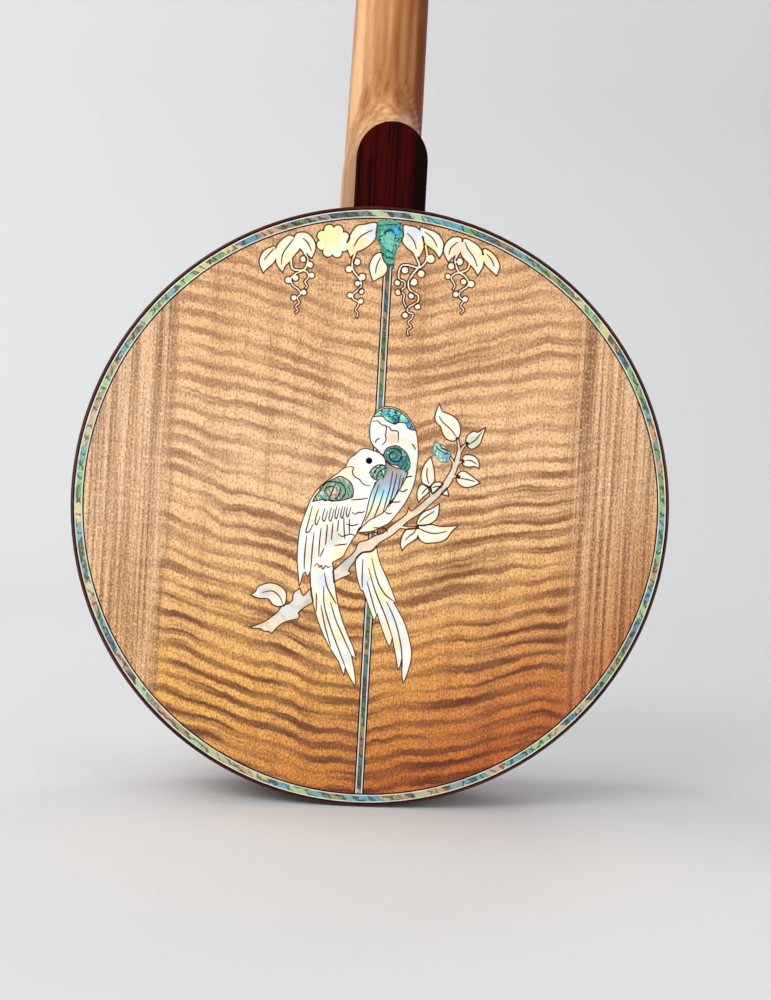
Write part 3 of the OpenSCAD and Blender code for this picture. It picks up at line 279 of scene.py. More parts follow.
def plain_wood(name, light, dark, grain=(260, 260, 5), roughness=0.35, coat=0.3, lines=0.5, gloss=0.35,
               right_painted_shade=0.0):
    """Straight-grained wood. grain gives how fine it is along X, Y and Z, lines how much of its tone is fine
    streaks, and right_painted_shade how much painted shade darkens its right side."""
    g = Graph(name, roughness=roughness, Coat_Weight=coat, Coat_Roughness=0.1, Specular_IOR_Level=gloss)
    spot = g.place()
    broad = g.stretched(spot, *[v * 0.22 for v in grain], detail=3.0, distortion=0.4)
    streak = g.stretched(spot, *grain, detail=4.0, rough=0.6)
    tone = g.add(g.times(broad, 1.0 - lines), g.times(streak, lines))
    base = g.ramp(tone, [(0.36, dark), (0.5, [(a + b) / 2 for a, b in zip(dark, light)]), (0.64, light)])
    pores = g.stretched(spot, *[v * 4 for v in grain], detail=2.0)
    base = g.veil(base, deeper(dark, 0.55), pores, 0.6, 0.75, 0.35)
    # Painted shade: darker towards the right side
    if right_painted_shade:
        base = g.veil(base, (150, 84, 26), g.split(spot)[0], 0.0, 0.022, right_painted_shade, "MULTIPLY")
    g.set(Base_Color=base)
    g.bump(g.add(streak, pores), strength=0.06, distance=0.0003)
    return g.mat


def rosewood(name):
    """Nearly black red-brown wood with upright streaks, and painted shade darkening its right side."""
    g = Graph(name, roughness=0.5, Specular_IOR_Level=0.03)
    spot = g.place()
    x = g.split(spot)[0]
    streak = g.stretched(spot, 300, 200, 6, detail=5.0, rough=0.65)
    base = g.ramp(streak, [(0.34, (6, 1, 1)), (0.46, (52, 4, 3)), (0.58, (66, 7, 5)), (0.64, (12, 2, 2)),
                           (0.72, (54, 6, 4))])
    # Painted shade: darker towards the right side
    base = g.veil(base, (8, 2, 2), g.add(x, g.times(streak, 0.006)), 0.012, 0.018, 0.85)
    pores = g.stretched(spot, 1300, 300, 90, detail=2.0)
    base = g.veil(base, (4, 1, 1), pores, 0.6, 0.72, 0.6)
    g.set(Base_Color=base)
    g.bump(streak, strength=0.04)
    return g.mat


# ---------------------------------------------------------------- shells
RING_FROM = 0.166      # farther out than this is the ring, nearer in is the centre strip
PIECE_LENGTH = 0.0112  # one length of shell
JOINT_SLANT = 1.2
RING_PALETTE = [(0.0, (84, 96, 92)), (0.1, (168, 204, 150)), (0.2, (204, 150, 116)), (0.3, (112, 150, 84)),
                (0.4, (104, 170, 190)), (0.5, (64, 58, 34)), (0.6, (150, 196, 132)), (0.7, (222, 196, 140)),
                (0.8, (110, 104, 96)), (0.9, (120, 176, 170)), (0.97, (166, 116, 84))]


def ring_shell():
    """Abalone laid end to end in short lengths, with slanting joints and dark growth lines."""
    g = Graph("abalone", roughness=0.25, Coat_Weight=0.2, Coat_Roughness=0.05, Specular_IOR_Level=0.3)
    spot = g.place()
    x, _, z = g.split(spot)
    out = g.away_from(spot, 0, 0)
    in_ring = g.remap(out, RING_FROM - 0.5 * MM, RING_FROM + 0.5 * MM)
    in_strip = g.minus(1.0, in_ring)
    # How far along the ring or the strip each point lies, then which length of shell it falls in
    run = g.add(g.times(g.math("ARCTAN2", x, z), g.times(in_ring, RADIUS)), g.times(z, in_strip))
    slant = g.add(g.times(in_ring, out), g.times(in_strip, x))
    ragged = g.stretched(spot, 330, 0, 330, detail=2.0)
    along = g.add(run, g.times(slant, JOINT_SLANT), g.times(ragged, 0.007))
    length = g.add(g.math("DIVIDE", along, PIECE_LENGTH), g.times(g.stretched(spot, 40, 0, 40), 1.2))
    pick = g.node("TexWhiteNoise", out="Value", props={"noise_dimensions": "1D"}, W=g.math("FLOOR", length))
    sheen = g.stretched(spot, 620, 0, 380, detail=3.0, distortion=1.6)
    colour = g.ramp(g.add(g.times(pick, 0.86), g.times(sheen, 0.22)), RING_PALETTE)
    colour = g.veil(colour, (34, 32, 22), g.math("FRACT", length), 0.12, 0.02, 0.85)
    colour = g.veil(colour, (40, 42, 24), g.wave(spot, 70.0, 12.0, 1.2), 0.30, 0.05, 0.75)
    colour = g.veil(colour, (232, 236, 216), sheen, 0.62, 0.80, 0.5)
    # The strip down the centre is darker
    colour = g.veil(colour, (56, 50, 34), out, RING_FROM - 1 * MM, RING_FROM - 2 * MM, 0.62)
    g.set(Base_Color=colour)
    g.bump(sheen, strength=0.03)
    return g.mat


# Each shell patch: its middle [x, z], its reach and its ring spacing in millimetres, and its colours
SHELL_PATCHES = [
    ((-25, 9), 14, 2.4, [(0.0, (96, 190, 150)), (0.2, (60, 140, 110)), (0.4, (206, 176, 150)),
                         (0.6, (168, 128, 104)), (0.78, (236, 206, 180)), (0.92, (150, 120, 96))]),
    ((1, 20), 8, 1.9, [(0.0, (236, 240, 226)), (0.4, (150, 210, 180)), (0.6, (240, 236, 216)),
                       (0.85, (96, 150, 130))]),
    ((10, 30.5), 10.5, 1.7, [(0.0, (20, 96, 84)), (0.3, (84, 190, 160)), (0.5, (14, 70, 66)),
                             (0.7, (120, 214, 180)), (0.9, (22, 110, 116))]),
    ((9, 56), 17, 4.2, [(0.0, (110, 214, 180)), (0.35, (150, 226, 196)), (0.55, (30, 120, 96)),
                        (0.75, (130, 220, 200)), (0.95, (40, 150, 190))]),
    ((38.5, 35), 9, 2.2, [(0.0, (60, 160, 170)), (0.4, (200, 236, 220)), (0.6, (28, 96, 110)),
                          (0.8, (170, 224, 206))]),
    ((0, 155), 26, 5.0, [(0.0, (26, 110, 96)), (0.3, (90, 190, 160)), (0.5, (20, 80, 84)),
                         (0.7, (60, 160, 150)), (0.9, (110, 200, 180))]),
]
# Patches of another colour, here and under the pearls: x, z, radius in millimetres, colour, strength
SHELL_BLUES = [(19, 50, 6, (24, 160, 226), 0.9), (3.5, 161, 4, (20, 150, 220), 0.8),
               (41, 33, 3.5, (70, 160, 214), 0.8), (12, 26, 3.5, (30, 130, 160), 0.6),
               (-18, 12, 4, (60, 150, 110), 0.6)]


def sea_shell():
    """Vivid shell with dark growth rings round the middle of each patch."""
    g = Graph("sea_abalone", roughness=0.22, Coat_Weight=0.25, Coat_Roughness=0.04, Specular_IOR_Level=0.3)
    spot = g.place()
    sway = g.stretched(spot, 190, 0, 190, detail=3.0)
    sheen = g.stretched(spot, 230, 0, 170, detail=2.0, distortion=1.6)
    colour = flat(40, 150, 140)
    rings = 0.5
    for (cx, cz), reach, spacing, palette in SHELL_PATCHES:
        away = g.away_from(spot, cx, cz)
        here = g.math("LESS_THAN", away, reach * MM)
        wave = g.math("FRACT", g.add(g.math("DIVIDE", away, spacing * MM), g.times(sway, 2.2)))
        drift = g.times(g.add(away, g.times(sway, 0.01)), 45.0)
        tone = g.math("FRACT", g.add(g.times(sheen, 1.1), drift))
        colour = g.mix(here, colour, g.ramp(tone, palette))
        rings = g.add(g.times(here, wave), g.times(g.minus(1.0, here), rings))
    colour = g.tinted(spot, colour, SHELL_BLUES)
    colour = g.veil(colour, (6, 18, 16), rings, 0.26, 0.10, 0.95)
    colour = g.veil(colour, (226, 244, 230), sheen, 0.58, 0.76, 0.6)
    g.set(Base_Color=colour)
    g.bump(sheen, strength=0.03)
    return g.mat


def pearl(name, base, tints, streaks=0.25, spots=()):
    """Mother-of-pearl: pale, with soft patches of tint and faint wavy streaks."""
    g = Graph(name, roughness=0.24, Coat_Weight=0.5, Coat_Roughness=0.05)
    spot = g.place()
    patch = g.stretched(spot, 70, 0, 70, detail=2.0, distortion=0.6)
    colour = g.ramp(patch, [(0.30, tints[0]), (0.42, base), (0.52, tints[1]), (0.60, base), (0.72, tints[2])])
    colour = g.tinted(spot, colour, spots)
    grain = g.wave(spot, 24.0, 14.0, 1.0)
    colour = g.veil(colour, deeper(base, 0.84), grain, 0.3, 0.0, streaks)
    g.set(Base_Color=colour)
    g.bump(grain, strength=0.02)
    return g.mat


def wing_pearl():
    """The right bird's wing: brown-grey at the shoulder, then blue, mint, cream and peach at the tips."""
    g = Graph("wing_pearl", roughness=0.22, Coat_Weight=0.5, Coat_Roughness=0.05)
    spot = g.place()
    x, _, z = g.split(spot)
    rise = g.remap(g.add(g.minus(z, g.times(x, 0.3)), g.wander(spot, 160, 60, 0.012)), -0.012, 0.024)
    colour = g.ramp(rise, [(0.0, (250, 226, 196)), (0.2, (236, 196, 156)), (0.34, (244, 232, 200)),
                           (0.46, (182, 232, 226)), (0.56, (150, 206, 226)), (0.68, (148, 168, 188)),
                           (0.82, (160, 156, 150)), (1.0, (118, 108, 92))])
    silk = g.stretched(spot, 900, 0, 120, detail=3.0)
    g.set(Base_Color=g.veil(colour, (240, 240, 232), silk, 0.55, 0.75, 0.4))
    g.bump(silk, strength=0.03)
    return g.mat


# ---------------------------------------------------------------- metals and plastics
def metal(name, colour, roughness=0.16, wear=0.12):
    """Plated or bare metal with faint clouds and fine scratches, rougher and smoother by about wear."""
    g = Graph(name, roughness=roughness, metallic=1.0)
    spot = g.place()
    cloud = g.noise(spot, scale=90.0, detail=4.0)
    fine = g.noise(spot, scale=900.0, detail=3.0)
    g.set(Base_Color=g.veil(flat(*colour), deeper(colour, 0.86), cloud, 0.4, 0.7, 0.35),
          Roughness=g.remap(g.add(cloud, fine), 0.7, 1.3, roughness - wear / 2, roughness + wear))
    g.bump(fine, strength=0.03, distance=0.0001)
    return g.mat


def plastic(name, colour, other, roughness=0.3, coat=0.3, gloss=0.4):
    """Plastic, bone, film or ink, clouded between two colours."""
    g = Graph(name, roughness=roughness, Coat_Weight=coat, Coat_Roughness=0.06, Specular_IOR_Level=gloss)
    spot = g.place()
    cloud = g.noise(spot, scale=120.0, detail=3.0, distortion=0.6)
    fine = g.noise(spot, scale=1800.0, detail=2.0)
    g.set(Base_Color=g.veil(flat(*colour), other, cloud, 0.38, 0.62, 1.0),
          Roughness=g.remap(fine, 0.3, 0.7, roughness - 0.06, roughness + 0.08))
    g.bump(fine, strength=0.03, distance=0.0001)
    return g.mat


# ---------------------------------------------------------------- meshes
def show(name, data):
    """Puts new data into the scene as an object."""
    made = bpy.data.objects.new(name, data)
    bpy.context.scene.collection.objects.link(made)
    return made


def add_piece(name, vertices, faces, material, body):
    """A visible piece that rides a body."""
    mesh = bpy.data.meshes.new(name)
    mesh.from_pydata([tuple(v) for v in vertices], [], faces)
    mesh.materials.append(material)
    mesh.validate()
    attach(show(name, mesh), body)


def smooth(points, steps=6):
    """A curve through given points."""
    points = [Vector(p) for p in points]
    out = []
    for i in range(len(points) - 1):
        a, b = points[max(i - 1, 0)], points[i]
        c, d = points[i + 1], points[min(i + 2, len(points) - 1)]
        for k in range(steps):
            t = k / steps
            out.append(0.5 * ((2 * b) + (c - a) * t + (2 * a - 5 * b + 4 * c - d) * t * t
                              + (3 * b - a - 3 * c + d) * t ** 3))
    return out + [points[-1]]


# A drawn line's top and foot in millimetres behind the back's face, so a minus is in front of it
LINE_TOP = -0.035
LINE_FOOT = 0.05
EYE_TOP = -0.049


def strip(pairs, closed):
    """Vertices and faces of a thin raised strip, from its [left, right] edge points in the back's plane."""
    vertices = []
    for left, right in pairs:
        for edge in (left, right):
            vertices += [on_back(edge[0], edge[1], LINE_TOP), on_back(edge[0], edge[1], LINE_FOOT)]
    n = len(pairs)
    faces = []
    for i in range(n if closed else n - 1):
        a, b = 4 * i, 4 * ((i + 1) % n)
        faces += [(a, a + 2, b + 2, b), (a + 1, b + 1, b + 3, a + 3), (a, b, b + 1, a + 1),
                  (a + 2, a + 3, b + 3, b + 2)]
    if not closed:
        e = 4 * (n - 1)
        faces += [(0, 1, 3, 2), (e, e + 2, e + 3, e + 1)]
    return vertices, faces


def engraved(points, width, taper=0.35):
    """A drawn line along given points. Its ends thin to about taper of its width."""
    line = smooth(points)
    n = len(line) - 1
    pairs = []
    for i, p in enumerate(line):
        along = (line[min(i + 1, n)] - line[max(i - 1, 0)]).normalized()
        swell = math.sin(math.pi * (i + 0.4) / (n + 0.8)) ** 0.5
        out = Vector((-along.y, along.x)) * 0.5 * width * (taper + (1 - taper) * swell)
        pairs.append((p + out, p - out))
    return strip(pairs, closed=False)


def disc(centre, radius, count=36):
    """A thin raised disc on the back."""
    rim = [(centre[0] + radius * math.cos(2 * math.pi * i / count),
            centre[1] + radius * math.sin(2 * math.pi * i / count)) for i in range(count)]
    top = [on_back(x, z, EYE_TOP) for x, z in rim]
    foot = [on_back(x, z, LINE_FOOT) for x, z in rim]
    sides = [(i, (i + 1) % count, count + (i + 1) % count, count + i) for i in range(count)]
    return top + foot, [tuple(range(count)), tuple(range(2 * count - 1, count - 1, -1))] + sides


def gather(parts):
    """Several parts' vertices and faces as one part's."""
    vertices, faces = [], []
    for part_vertices, part_faces in parts:
        start = len(vertices)
        vertices += part_vertices
        faces += [tuple(start + i for i in f) for f in part_faces]
    return vertices, faces


def front_loops(name):
    """The outlines of a CAD inlay's flat front, as loops of points in millimetres about the pot's centre."""
    mesh = nodes[name].data
    number_at = {}
    spots = []
    index = []
    for v in mesh.vertices:
        place = tuple(round(c, 6) for c in v.co)
        if place not in number_at:
            number_at[place] = len(spots)
            spots.append(v.co)
        index.append(number_at[place])
    edges = set()
    for face in mesh.polygons:
        ring = [index[i] for i in face.vertices]
        if all(abs(spots[i].y - FACE_Y) < 1e-6 for i in ring):
            edges.update((ring[i], ring[(i + 1) % len(ring)]) for i in range(len(ring)))
    # An edge with no twin the other way lies on the outline
    following = {a: b for a, b in edges if (b, a) not in edges}
    loops = []
    while following:
        start, at = following.popitem()
        loop = [start]
        while at != start and at in following:
            loop.append(at)
            at = following.pop(at)
        loops.append([Vector(((spots[i].x - POT.x) / MM, (spots[i].z - POT.z) / MM)) for i in loop])
    return loops


SHORTEST = 0.02    # points of an outline nearer than this, in millimetres, count as one
MITRE_LIMIT = 1.8  # how far a sharp corner may stick out, in widths


def outlined(loop, inner, outer):
    """A strip along a closed outline, from inner inside it to outer outside it."""
    loop = [p for i, p in enumerate(loop) if (p - loop[i - 1]).length > SHORTEST]
    n = len(loop)
    pairs = []
    for i, p in enumerate(loop):
        before = (p - loop[i - 1]).normalized()
        after = (loop[(i + 1) % n] - p).normalized()
        turn = before + after
        if turn.length < 0.2:  # the outline doubles back
            turn = after
        turn.normalize()
        out = Vector((turn.y, -turn.x))
        reach = min(1.0 / max(abs(turn.dot(after)), 0.3), MITRE_LIMIT)
        pairs.append((p - out * inner * reach, p + out * outer * reach))
    return strip(pairs, closed=True)


# ---------------------------------------------------------------- drawn lines on the inlay
# Each drawing is a list of lines, drawn as [x, z] points in millimetres about the pot's centre.
LEFT_BIRD_LINES = [
    # Collar under the chin, then breast scallops from the top down
    [(-19, 22), (-15.5, 23.2), (-13.5, 22.5), (-14, 20), (-12.5, 17.5), (-9.5, 16), (-8, 14), (-5.5, 12.8),
     (-3, 13)],
    [(-14, 4), (-9, 4.5), (-4, 5.5)],
    [(-13, -3), (-11, -4.2), (-9, -3), (-7, -3), (-5.5, -2)],
    [(-16, -10), (-13, -11), (-10, -10.3), (-9, -9.5)],
    [(-20.5, -16), (-18, -17.5), (-15, -16.5), (-12, -16), (-10, -17.5)],
    [(-22, -23), (-19, -22.5), (-16, -22), (-14.5, -21.5)],
    [(-17.5, -6.5), (-17, -13), (-16.2, -19)],
    [(-14.2, -7), (-14, -12), (-13.7, -16)],
    # Covert feathers
    [(-36, -0.5), (-37.8, -10), (-39, -16), (-37, -15.5), (-35, -11)],
    [(-32.3, -2), (-34, -9), (-33, -11.5), (-31.3, -6.5)],
    [(-28.7, -1.5), (-29.8, -7.5), (-28.5, -9), (-27.1, -3)],
    [(-25, -1), (-26.1, -7.3), (-24.8, -8.7), (-23.5, -2)],
    [(-21.9, 0), (-22.7, -5.8), (-21.6, -7.2), (-20.4, -1)],
    [(-18.5, 0), (-19.4, -5.3), (-18.3, -6.7), (-17.1, 0)],
    [(-15.6, 0), (-16.2, -4.2), (-15, -5.8), (-13.7, 0)],
    # Long wing feathers
    [(-38.5, -18), (-39, -30), (-38.8, -38)],
    [(-34.3, -16), (-34.8, -27), (-35, -38)],
    [(-30.3, -13), (-30.8, -22), (-30.8, -30)],
    [(-26.7, -11), (-27, -18), (-27.3, -23)],
    [(-23.6, -10), (-24, -20)],
    [(-20.4, -8), (-20.8, -15)],
    [(-33, -36), (-31.5, -34), (-30, -36), (-29, -35), (-28, -37), (-26.5, -35), (-25, -36), (-23.5, -35)],
    [(-28, -25), (-30, -30)],
    # Tail feathers
    [(-27, -39), (-25, -47), (-21, -54), (-19, -57)],
    [(-27, -47), (-26, -58), (-22, -70), (-16, -84), (-12, -93)],
    [(-31, -51), (-30.5, -62)],
    [(-28, -58), (-25, -70), (-21, -82)],
    [(-22.5, -56), (-19, -66), (-14, -76), (-9, -86)],
]
SHOULDER_LINES = [
    # The left bird's shoulder patch
    [(-32.5, 7), (-32, 10), (-29, 13), (-25, 14), (-20.5, 13.3), (-18, 11), (-17.3, 8.5), (-18, 6),
     (-19.5, 4)],
    [(-29.5, 7.5), (-29, 9.5), (-27, 11), (-24, 11)],
    [(-27, 3.5), (-25.5, 7), (-24, 11.5), (-23, 13.3)],
    [(-23, 3.5), (-21, 7), (-20.3, 11.3)],
    [(-30.5, 4), (-29, 2.5), (-27.5, 3.5)],
    [(-26.5, 4), (-25, 2.5), (-23.5, 3.5)],
    [(-22.5, 4), (-21, 3), (-19.5, 4)],
    # Its cheek
    [(-2, 17), (-1, 21), (2, 24.5), (5, 25)],
    [(0, 16), (1, 20), (4, 23), (6, 23.5)],
    [(2, 20), (4, 19), (4.5, 17.5)],
    # The right bird's shoulder and crown swirls
    [(5, 33), (8, 35), (12, 34.5), (14, 31), (13, 28), (10, 27.5), (7.5, 29), (7.5, 32), (9.5, 33),
     (11.5, 31), (10, 29.5)],
    [(7, 52.5), (8, 54), (10, 54.2), (11.3, 52.5), (11, 50.5), (9.5, 49.5), (8, 50)],
]
RIGHT_BIRD_LINES = [
    # Face and beak
    [(-4, 50), (-1, 50.5), (1.5, 48.5), (4, 47.8), (4.3, 45), (4, 42.5), (4.5, 40), (3.5, 38), (2, 36.5)],
    [(4, 47.8), (6, 47.2), (7.5, 45.5), (10, 45.5), (11.5, 44), (11.5, 38.5)],
    [(-1.5, 37.5), (-1, 39.5), (1, 40.5)],
    [(19.5, 38.5), (21, 37), (22, 35)],
    # Belly scallops
    [(17, 18), (19, 19.3), (21, 19.5)],
    [(14, 11), (16, 10.3), (18, 11.5), (19, 11.5)],
    [(9, 3), (11, 4), (13, 4), (15, 4.7)],
    [(6.5, -2), (8, -2.8), (10.5, -2.6)],
    # Wing feathers
    [(9.5, 22), (8.5, 13), (7, 6), (5, -3)],
    [(12, 21), (11, 14), (9, 5), (6.5, -1)],
    [(14.2, 20), (13, 11), (10.5, 5), (8, 1)],
    [(2, 14), (0, 7), (-2, -1), (-5, -8)],
    [(5, 11), (3, 3), (1, -3), (0, -5.5)],
    [(16, 19), (15.5, 16), (14.5, 12)],
    # Feet
    [(0, -11.5), (3, -11.5), (6, -11.5), (8, -12.5), (8, -14)],
    [(-8, -16), (-6, -15), (-4, -16), (-2, -15), (1, -14), (3, -15), (5, -14.5)],
    # Tail feathers
    [(-5, -30), (-5, -40), (-4.5, -47)],
    [(0, -29), (4, -42), (9, -50), (15, -54)],
    [(-1.5, -35), (3, -48), (10, -63), (15, -76)],
    [(-2, -43), (2, -55), (4.5, -62)],
    [(10, -54), (16, -66), (20, -80), (21.5, -92)],
]
LEAF_LINES = [
    [(34.5, 55.5), (37, 52), (42, 48), (46, 43)],
    [(33.5, 38), (37, 35), (42, 33.5)],
    [(36, 39), (38, 36.5), (42.5, 35)],
    [(53, 40), (57, 43), (60.5, 48)],
    [(51.5, 30.5), (55, 30.5), (58.5, 28.5)],
    [(49, 20), (53, 19.5), (58, 18.5)],
    [(29.5, 25), (29.5, 20), (31, 15.5)],
    [(27, 9.5), (29, 12), (31, 14)],
    [(33, 13.5), (36, 14.5), (39, 14)],
    [(26.5, -7), (29, -4.5), (33, -1.5), (35, 0)],
    [(26, -10), (30, -12), (36, -13), (43, -11.5)],
    [(19, -18), (21, -15.5), (23.5, -13.5), (25, -11)],
    [(-62.5, -52.5), (-58, -51.2), (-55, -51.8), (-52, -54.5), (-50, -58.5)],
]
GARLAND_LINES = [
    [(-71.5, 139), (-69, 142.5), (-66, 146)],
    [(-61.5, 137), (-61, 143), (-57.5, 149), (-55, 152.5)],
    [(-44.5, 146), (-47, 150.5), (-50, 153)],
    [(-20.5, 150), (-17, 156), (-10, 160.5)],
    [(-7, 135.5), (-6.5, 140), (-4.5, 145)],
    [(16, 151), (14, 156), (10, 160)],
    [(28, 153), (25, 158), (20, 161.5)],
    [(35, 149), (36, 153), (40, 157)],
    [(52, 143), (50, 148), (46, 153), (44, 157)],
    [(62, 144), (60, 148), (57, 151)],
]
EYE_AT = (-4.7, 27.2)
EYE_R = 1.9
GLINT_AT = (-4.4, 26.7)
GLINT_R = 0.9


# ---------------------------------------------------------------- dressing the CAD
dress(flamed_wood(), "veneer_left", "veneer_right")
dress(plain_wood("core_wood", (226, 190, 142), (170, 124, 80), grain=(120, 300, 120)), "back_core")
dress(plain_wood("side_wood", (150, 84, 38), (92, 44, 18), grain=(6, 90, 260), roughness=0.25, coat=0.8),
      "resonator_side")
dress(plain_wood("edge_binding", (92, 34, 22), (48, 12, 8), grain=(70, 70, 70), roughness=0.3, coat=0.15,
                 gloss=0.2), "edge_binding")
dress(ring_shell(), "abalone_purfling")
dress(plastic("purfling_white", (218, 216, 208), (196, 192, 182), coat=0.1), "purfling_white")
dress(plastic("purfling_black", (6, 5, 5), (12, 9, 8), roughness=0.6, coat=0.0, gloss=0.02), "purfling_black")

# Tints under each pearl: x, z, radius in millimetres, colour, strength
YELLOW, BLUISH, PEACH, GREYISH = (252, 230, 156), (210, 222, 230), (240, 192, 154), (184, 180, 174)
LEFT_BIRD_TINTS = [(-16, 20, 6, YELLOW, 0.6), (-36, -6, 6, YELLOW, 0.45), (-24, -18, 9, GREYISH, 0.55),
                   (-36, -28, 7, PEACH, 0.5), (-20, -30, 7, YELLOW, 0.5), (-27, -44, 7, BLUISH, 0.85),
                   (-22, -55, 6, YELLOW, 0.7), (-25, -66, 6, PEACH, 0.35), (-16, -76, 6, YELLOW, 0.6),
                   (-12, -88, 5, BLUISH, 0.6)]
RIGHT_BIRD_TINTS = [(8, 41, 5, PEACH, 0.85), (-3, 42, 4, BLUISH, 0.5), (20, 24, 5, BLUISH, 0.5),
                    (2, -12, 5, YELLOW, 0.5), (2, -30, 7, YELLOW, 0.7), (-3, -42, 5, BLUISH, 0.8),
                    (8, -50, 7, YELLOW, 0.65), (14, -62, 6, BLUISH, 0.6), (18, -78, 6, PEACH, 0.4),
                    (12, -72, 5, YELLOW, 0.6)]
GARLAND_TINTS = [(-70, 150, 9, YELLOW, 0.9), (-36, 156, 12, (255, 236, 168), 0.95),
                 (-18, 150, 8, YELLOW, 0.8), (-10, 160, 6, BLUISH, 0.8), (14, 160, 7, BLUISH, 0.9),
                 (22, 152, 7, YELLOW, 0.8), (40, 152, 7, PEACH, 0.45), (58, 150, 8, YELLOW, 0.7)]
LEAF_TINTS = [(38, 46, 6, YELLOW, 0.5), (56, 42, 6, (170, 200, 150), 0.6), (33, 3, 6, BLUISH, 0.5),
              (42, -9, 5, YELLOW, 0.6), (-55, -50, 7, PEACH, 0.55), (-61, -52, 5, GREYISH, 0.6)]
BRANCH_TINTS = [(-14, -31, 9, GREYISH, 0.9), (-48, -58, 12, (214, 222, 222), 0.9), (-2, -22, 6, PEACH, 0.5),
                (20, -6, 8, YELLOW, 0.5), (34, 12, 8, GREYISH, 0.5), (-60, -66, 6, YELLOW, 0.5)]
dress(pearl("left_pearl", (252, 246, 228), [(252, 236, 190), (236, 238, 232), (250, 228, 204)], 0.16,
            LEFT_BIRD_TINTS), "inlay_left_bird")
dress(pearl("right_pearl", (252, 246, 230), [(252, 236, 194), (236, 238, 234), (250, 228, 206)], 0.16,
            RIGHT_BIRD_TINTS), "inlay_right_bird")
dress(pearl("leaf_pearl", (250, 242, 222), [(248, 230, 186), (238, 240, 226), (250, 226, 198)], 0.18,
            LEAF_TINTS), "inlay_leaves")
dress(pearl("garland_pearl", (250, 240, 212), [(250, 230, 170), (236, 238, 226), (250, 224, 190)], 0.18,
            GARLAND_TINTS), "inlay_garland")
dress(pearl("branch_pearl", (222, 212, 192), [(196, 188, 176), (232, 220, 192), (208, 178, 148)], 0.35,
            BRANCH_TINTS), "inlay_branch")
dress(wing_pearl(), "inlay_right_wing")
dress(sea_shell(), "inlay_abalone")

dress(plain_wood("neck_wood", (232, 184, 136), (150, 86, 34), grain=(190, 190, 9), coat=0.0, roughness=0.5,
                 gloss=0.15, right_painted_shade=0.85), "neck")
dress(plain_wood("peghead_wood", (232, 186, 128), (170, 110, 58), grain=(190, 190, 6), lines=0.4, coat=0.15),
      "peghead")
dress(rosewood("heel_cap_wood"), "heel_cap")
dress(plain_wood("rim_maple", (226, 184, 124), (176, 124, 70), grain=(40, 330, 40)), "wood_rim")
dress(plain_wood("ebony", (38, 30, 26), (14, 10, 9), grain=(260, 260, 12), roughness=0.42, coat=0.1),
      "fingerboard", "peghead_overlay", "bridge_top")
dress(plain_wood("bridge_maple", (230, 194, 142), (186, 138, 84), grain=(20, 300, 300), coat=0.1,
                 roughness=0.5), "bridge_body")

FOUR = range(1, 5)
dress(metal("plated_metal", (214, 210, 202), 0.13), "flange", "tension_hoop", "bracket_hooks", "bracket_nuts",
      "coordinator_rods", "armrest", "tailpiece_bracket", "tailpiece_base", "tailpiece_cover",
      "tailpiece_thumb_nut", "tuner_housings", "fifth_peg_case", "resonator_lugs",
      *[f"thumb_screw_{i}" for i in FOUR], *[f"tuner_post_{i}" for i in FOUR], "fifth_peg_post")
dress(metal("tone_ring_bronze", (206, 176, 112), 0.2), "tone_ring")
dress(metal("steel", (190, 190, 188), 0.25), "truss_rod", "strings")
dress(metal("nickel_silver", (212, 206, 190)), "frets")
dress(metal("brass", (206, 162, 84), 0.24), "truss_rod_nut")
dress(plastic("head_film", (236, 236, 230), (228, 228, 220), roughness=0.62, coat=0.0), "head", "head_collar")
dress(plastic("bone", (240, 232, 210), (226, 214, 186), roughness=0.35), "nut")
dress(pearl("dot_pearl", (236, 238, 232), [(206, 220, 224), (240, 238, 226), (226, 226, 236)], 0.4),
      "fret_markers")
dress(pearl("button_plastic", (240, 234, 216), [(226, 216, 192), (244, 240, 228), (232, 226, 206)], 0.3),
      *[f"tuner_button_{i}" for i in FOUR], "fifth_peg_button")
dress(plastic("cover_plastic", (18, 17, 17), (26, 24, 24), roughness=0.22), "truss_rod_cover")

# ---------------------------------------------------------------- outlines and drawing on the inlay
OUTLINE = plastic("inlay_outline", (84, 40, 8), (110, 56, 14), roughness=0.5, coat=0.0, gloss=0.1)
ENGRAVING = plastic("engraving", (66, 32, 6), (96, 52, 12), roughness=0.5, coat=0.0, gloss=0.1)
DARK_LINE = plastic("shell_line", (8, 10, 9), (18, 24, 22), roughness=0.4, coat=0.0, gloss=0.1)
# The dark line round each inlay, in millimetres: how far it reaches inside the edge, and outside it
OUTLINE_INSIDE = 0.12
OUTLINE_OUTSIDE = {"inlay_left_bird": 0.55, "inlay_right_bird": 0.55, "inlay_right_wing": 0.12,
                   "inlay_branch": 0.6, "inlay_leaves": 0.68, "inlay_garland": 0.7, "inlay_abalone": 0.12}
BIRD_LINE, LEAF_LINE, SHELL_LINE = 0.80, 0.76, 0.7
for inlay, outside in OUTLINE_OUTSIDE.items():
    edge = gather([outlined(loop, OUTLINE_INSIDE, outside) for loop in front_loops(inlay)])
    add_piece(inlay + "_outline", *edge, OUTLINE, "resonator")
for label, drawing, width, ink in [("left_bird_engraving", LEFT_BIRD_LINES, BIRD_LINE, ENGRAVING),
                                   ("right_bird_engraving", RIGHT_BIRD_LINES, BIRD_LINE, ENGRAVING),
                                   ("leaf_engraving", LEAF_LINES, LEAF_LINE, ENGRAVING),
                                   ("garland_engraving", GARLAND_LINES, LEAF_LINE, ENGRAVING),
                                   ("shell_engraving", SHOULDER_LINES, SHELL_LINE, DARK_LINE)]:
    add_piece(label, *gather([engraved(line, width) for line in drawing]), ink, "resonator")
add_piece("left_bird_eye", *disc(EYE_AT, EYE_R), DARK_LINE, "resonator")
add_piece("left_bird_eye_shell", *disc(GLINT_AT, GLINT_R),
          plastic("eye_shell", (30, 110, 120), (20, 80, 90), roughness=0.2), "resonator")

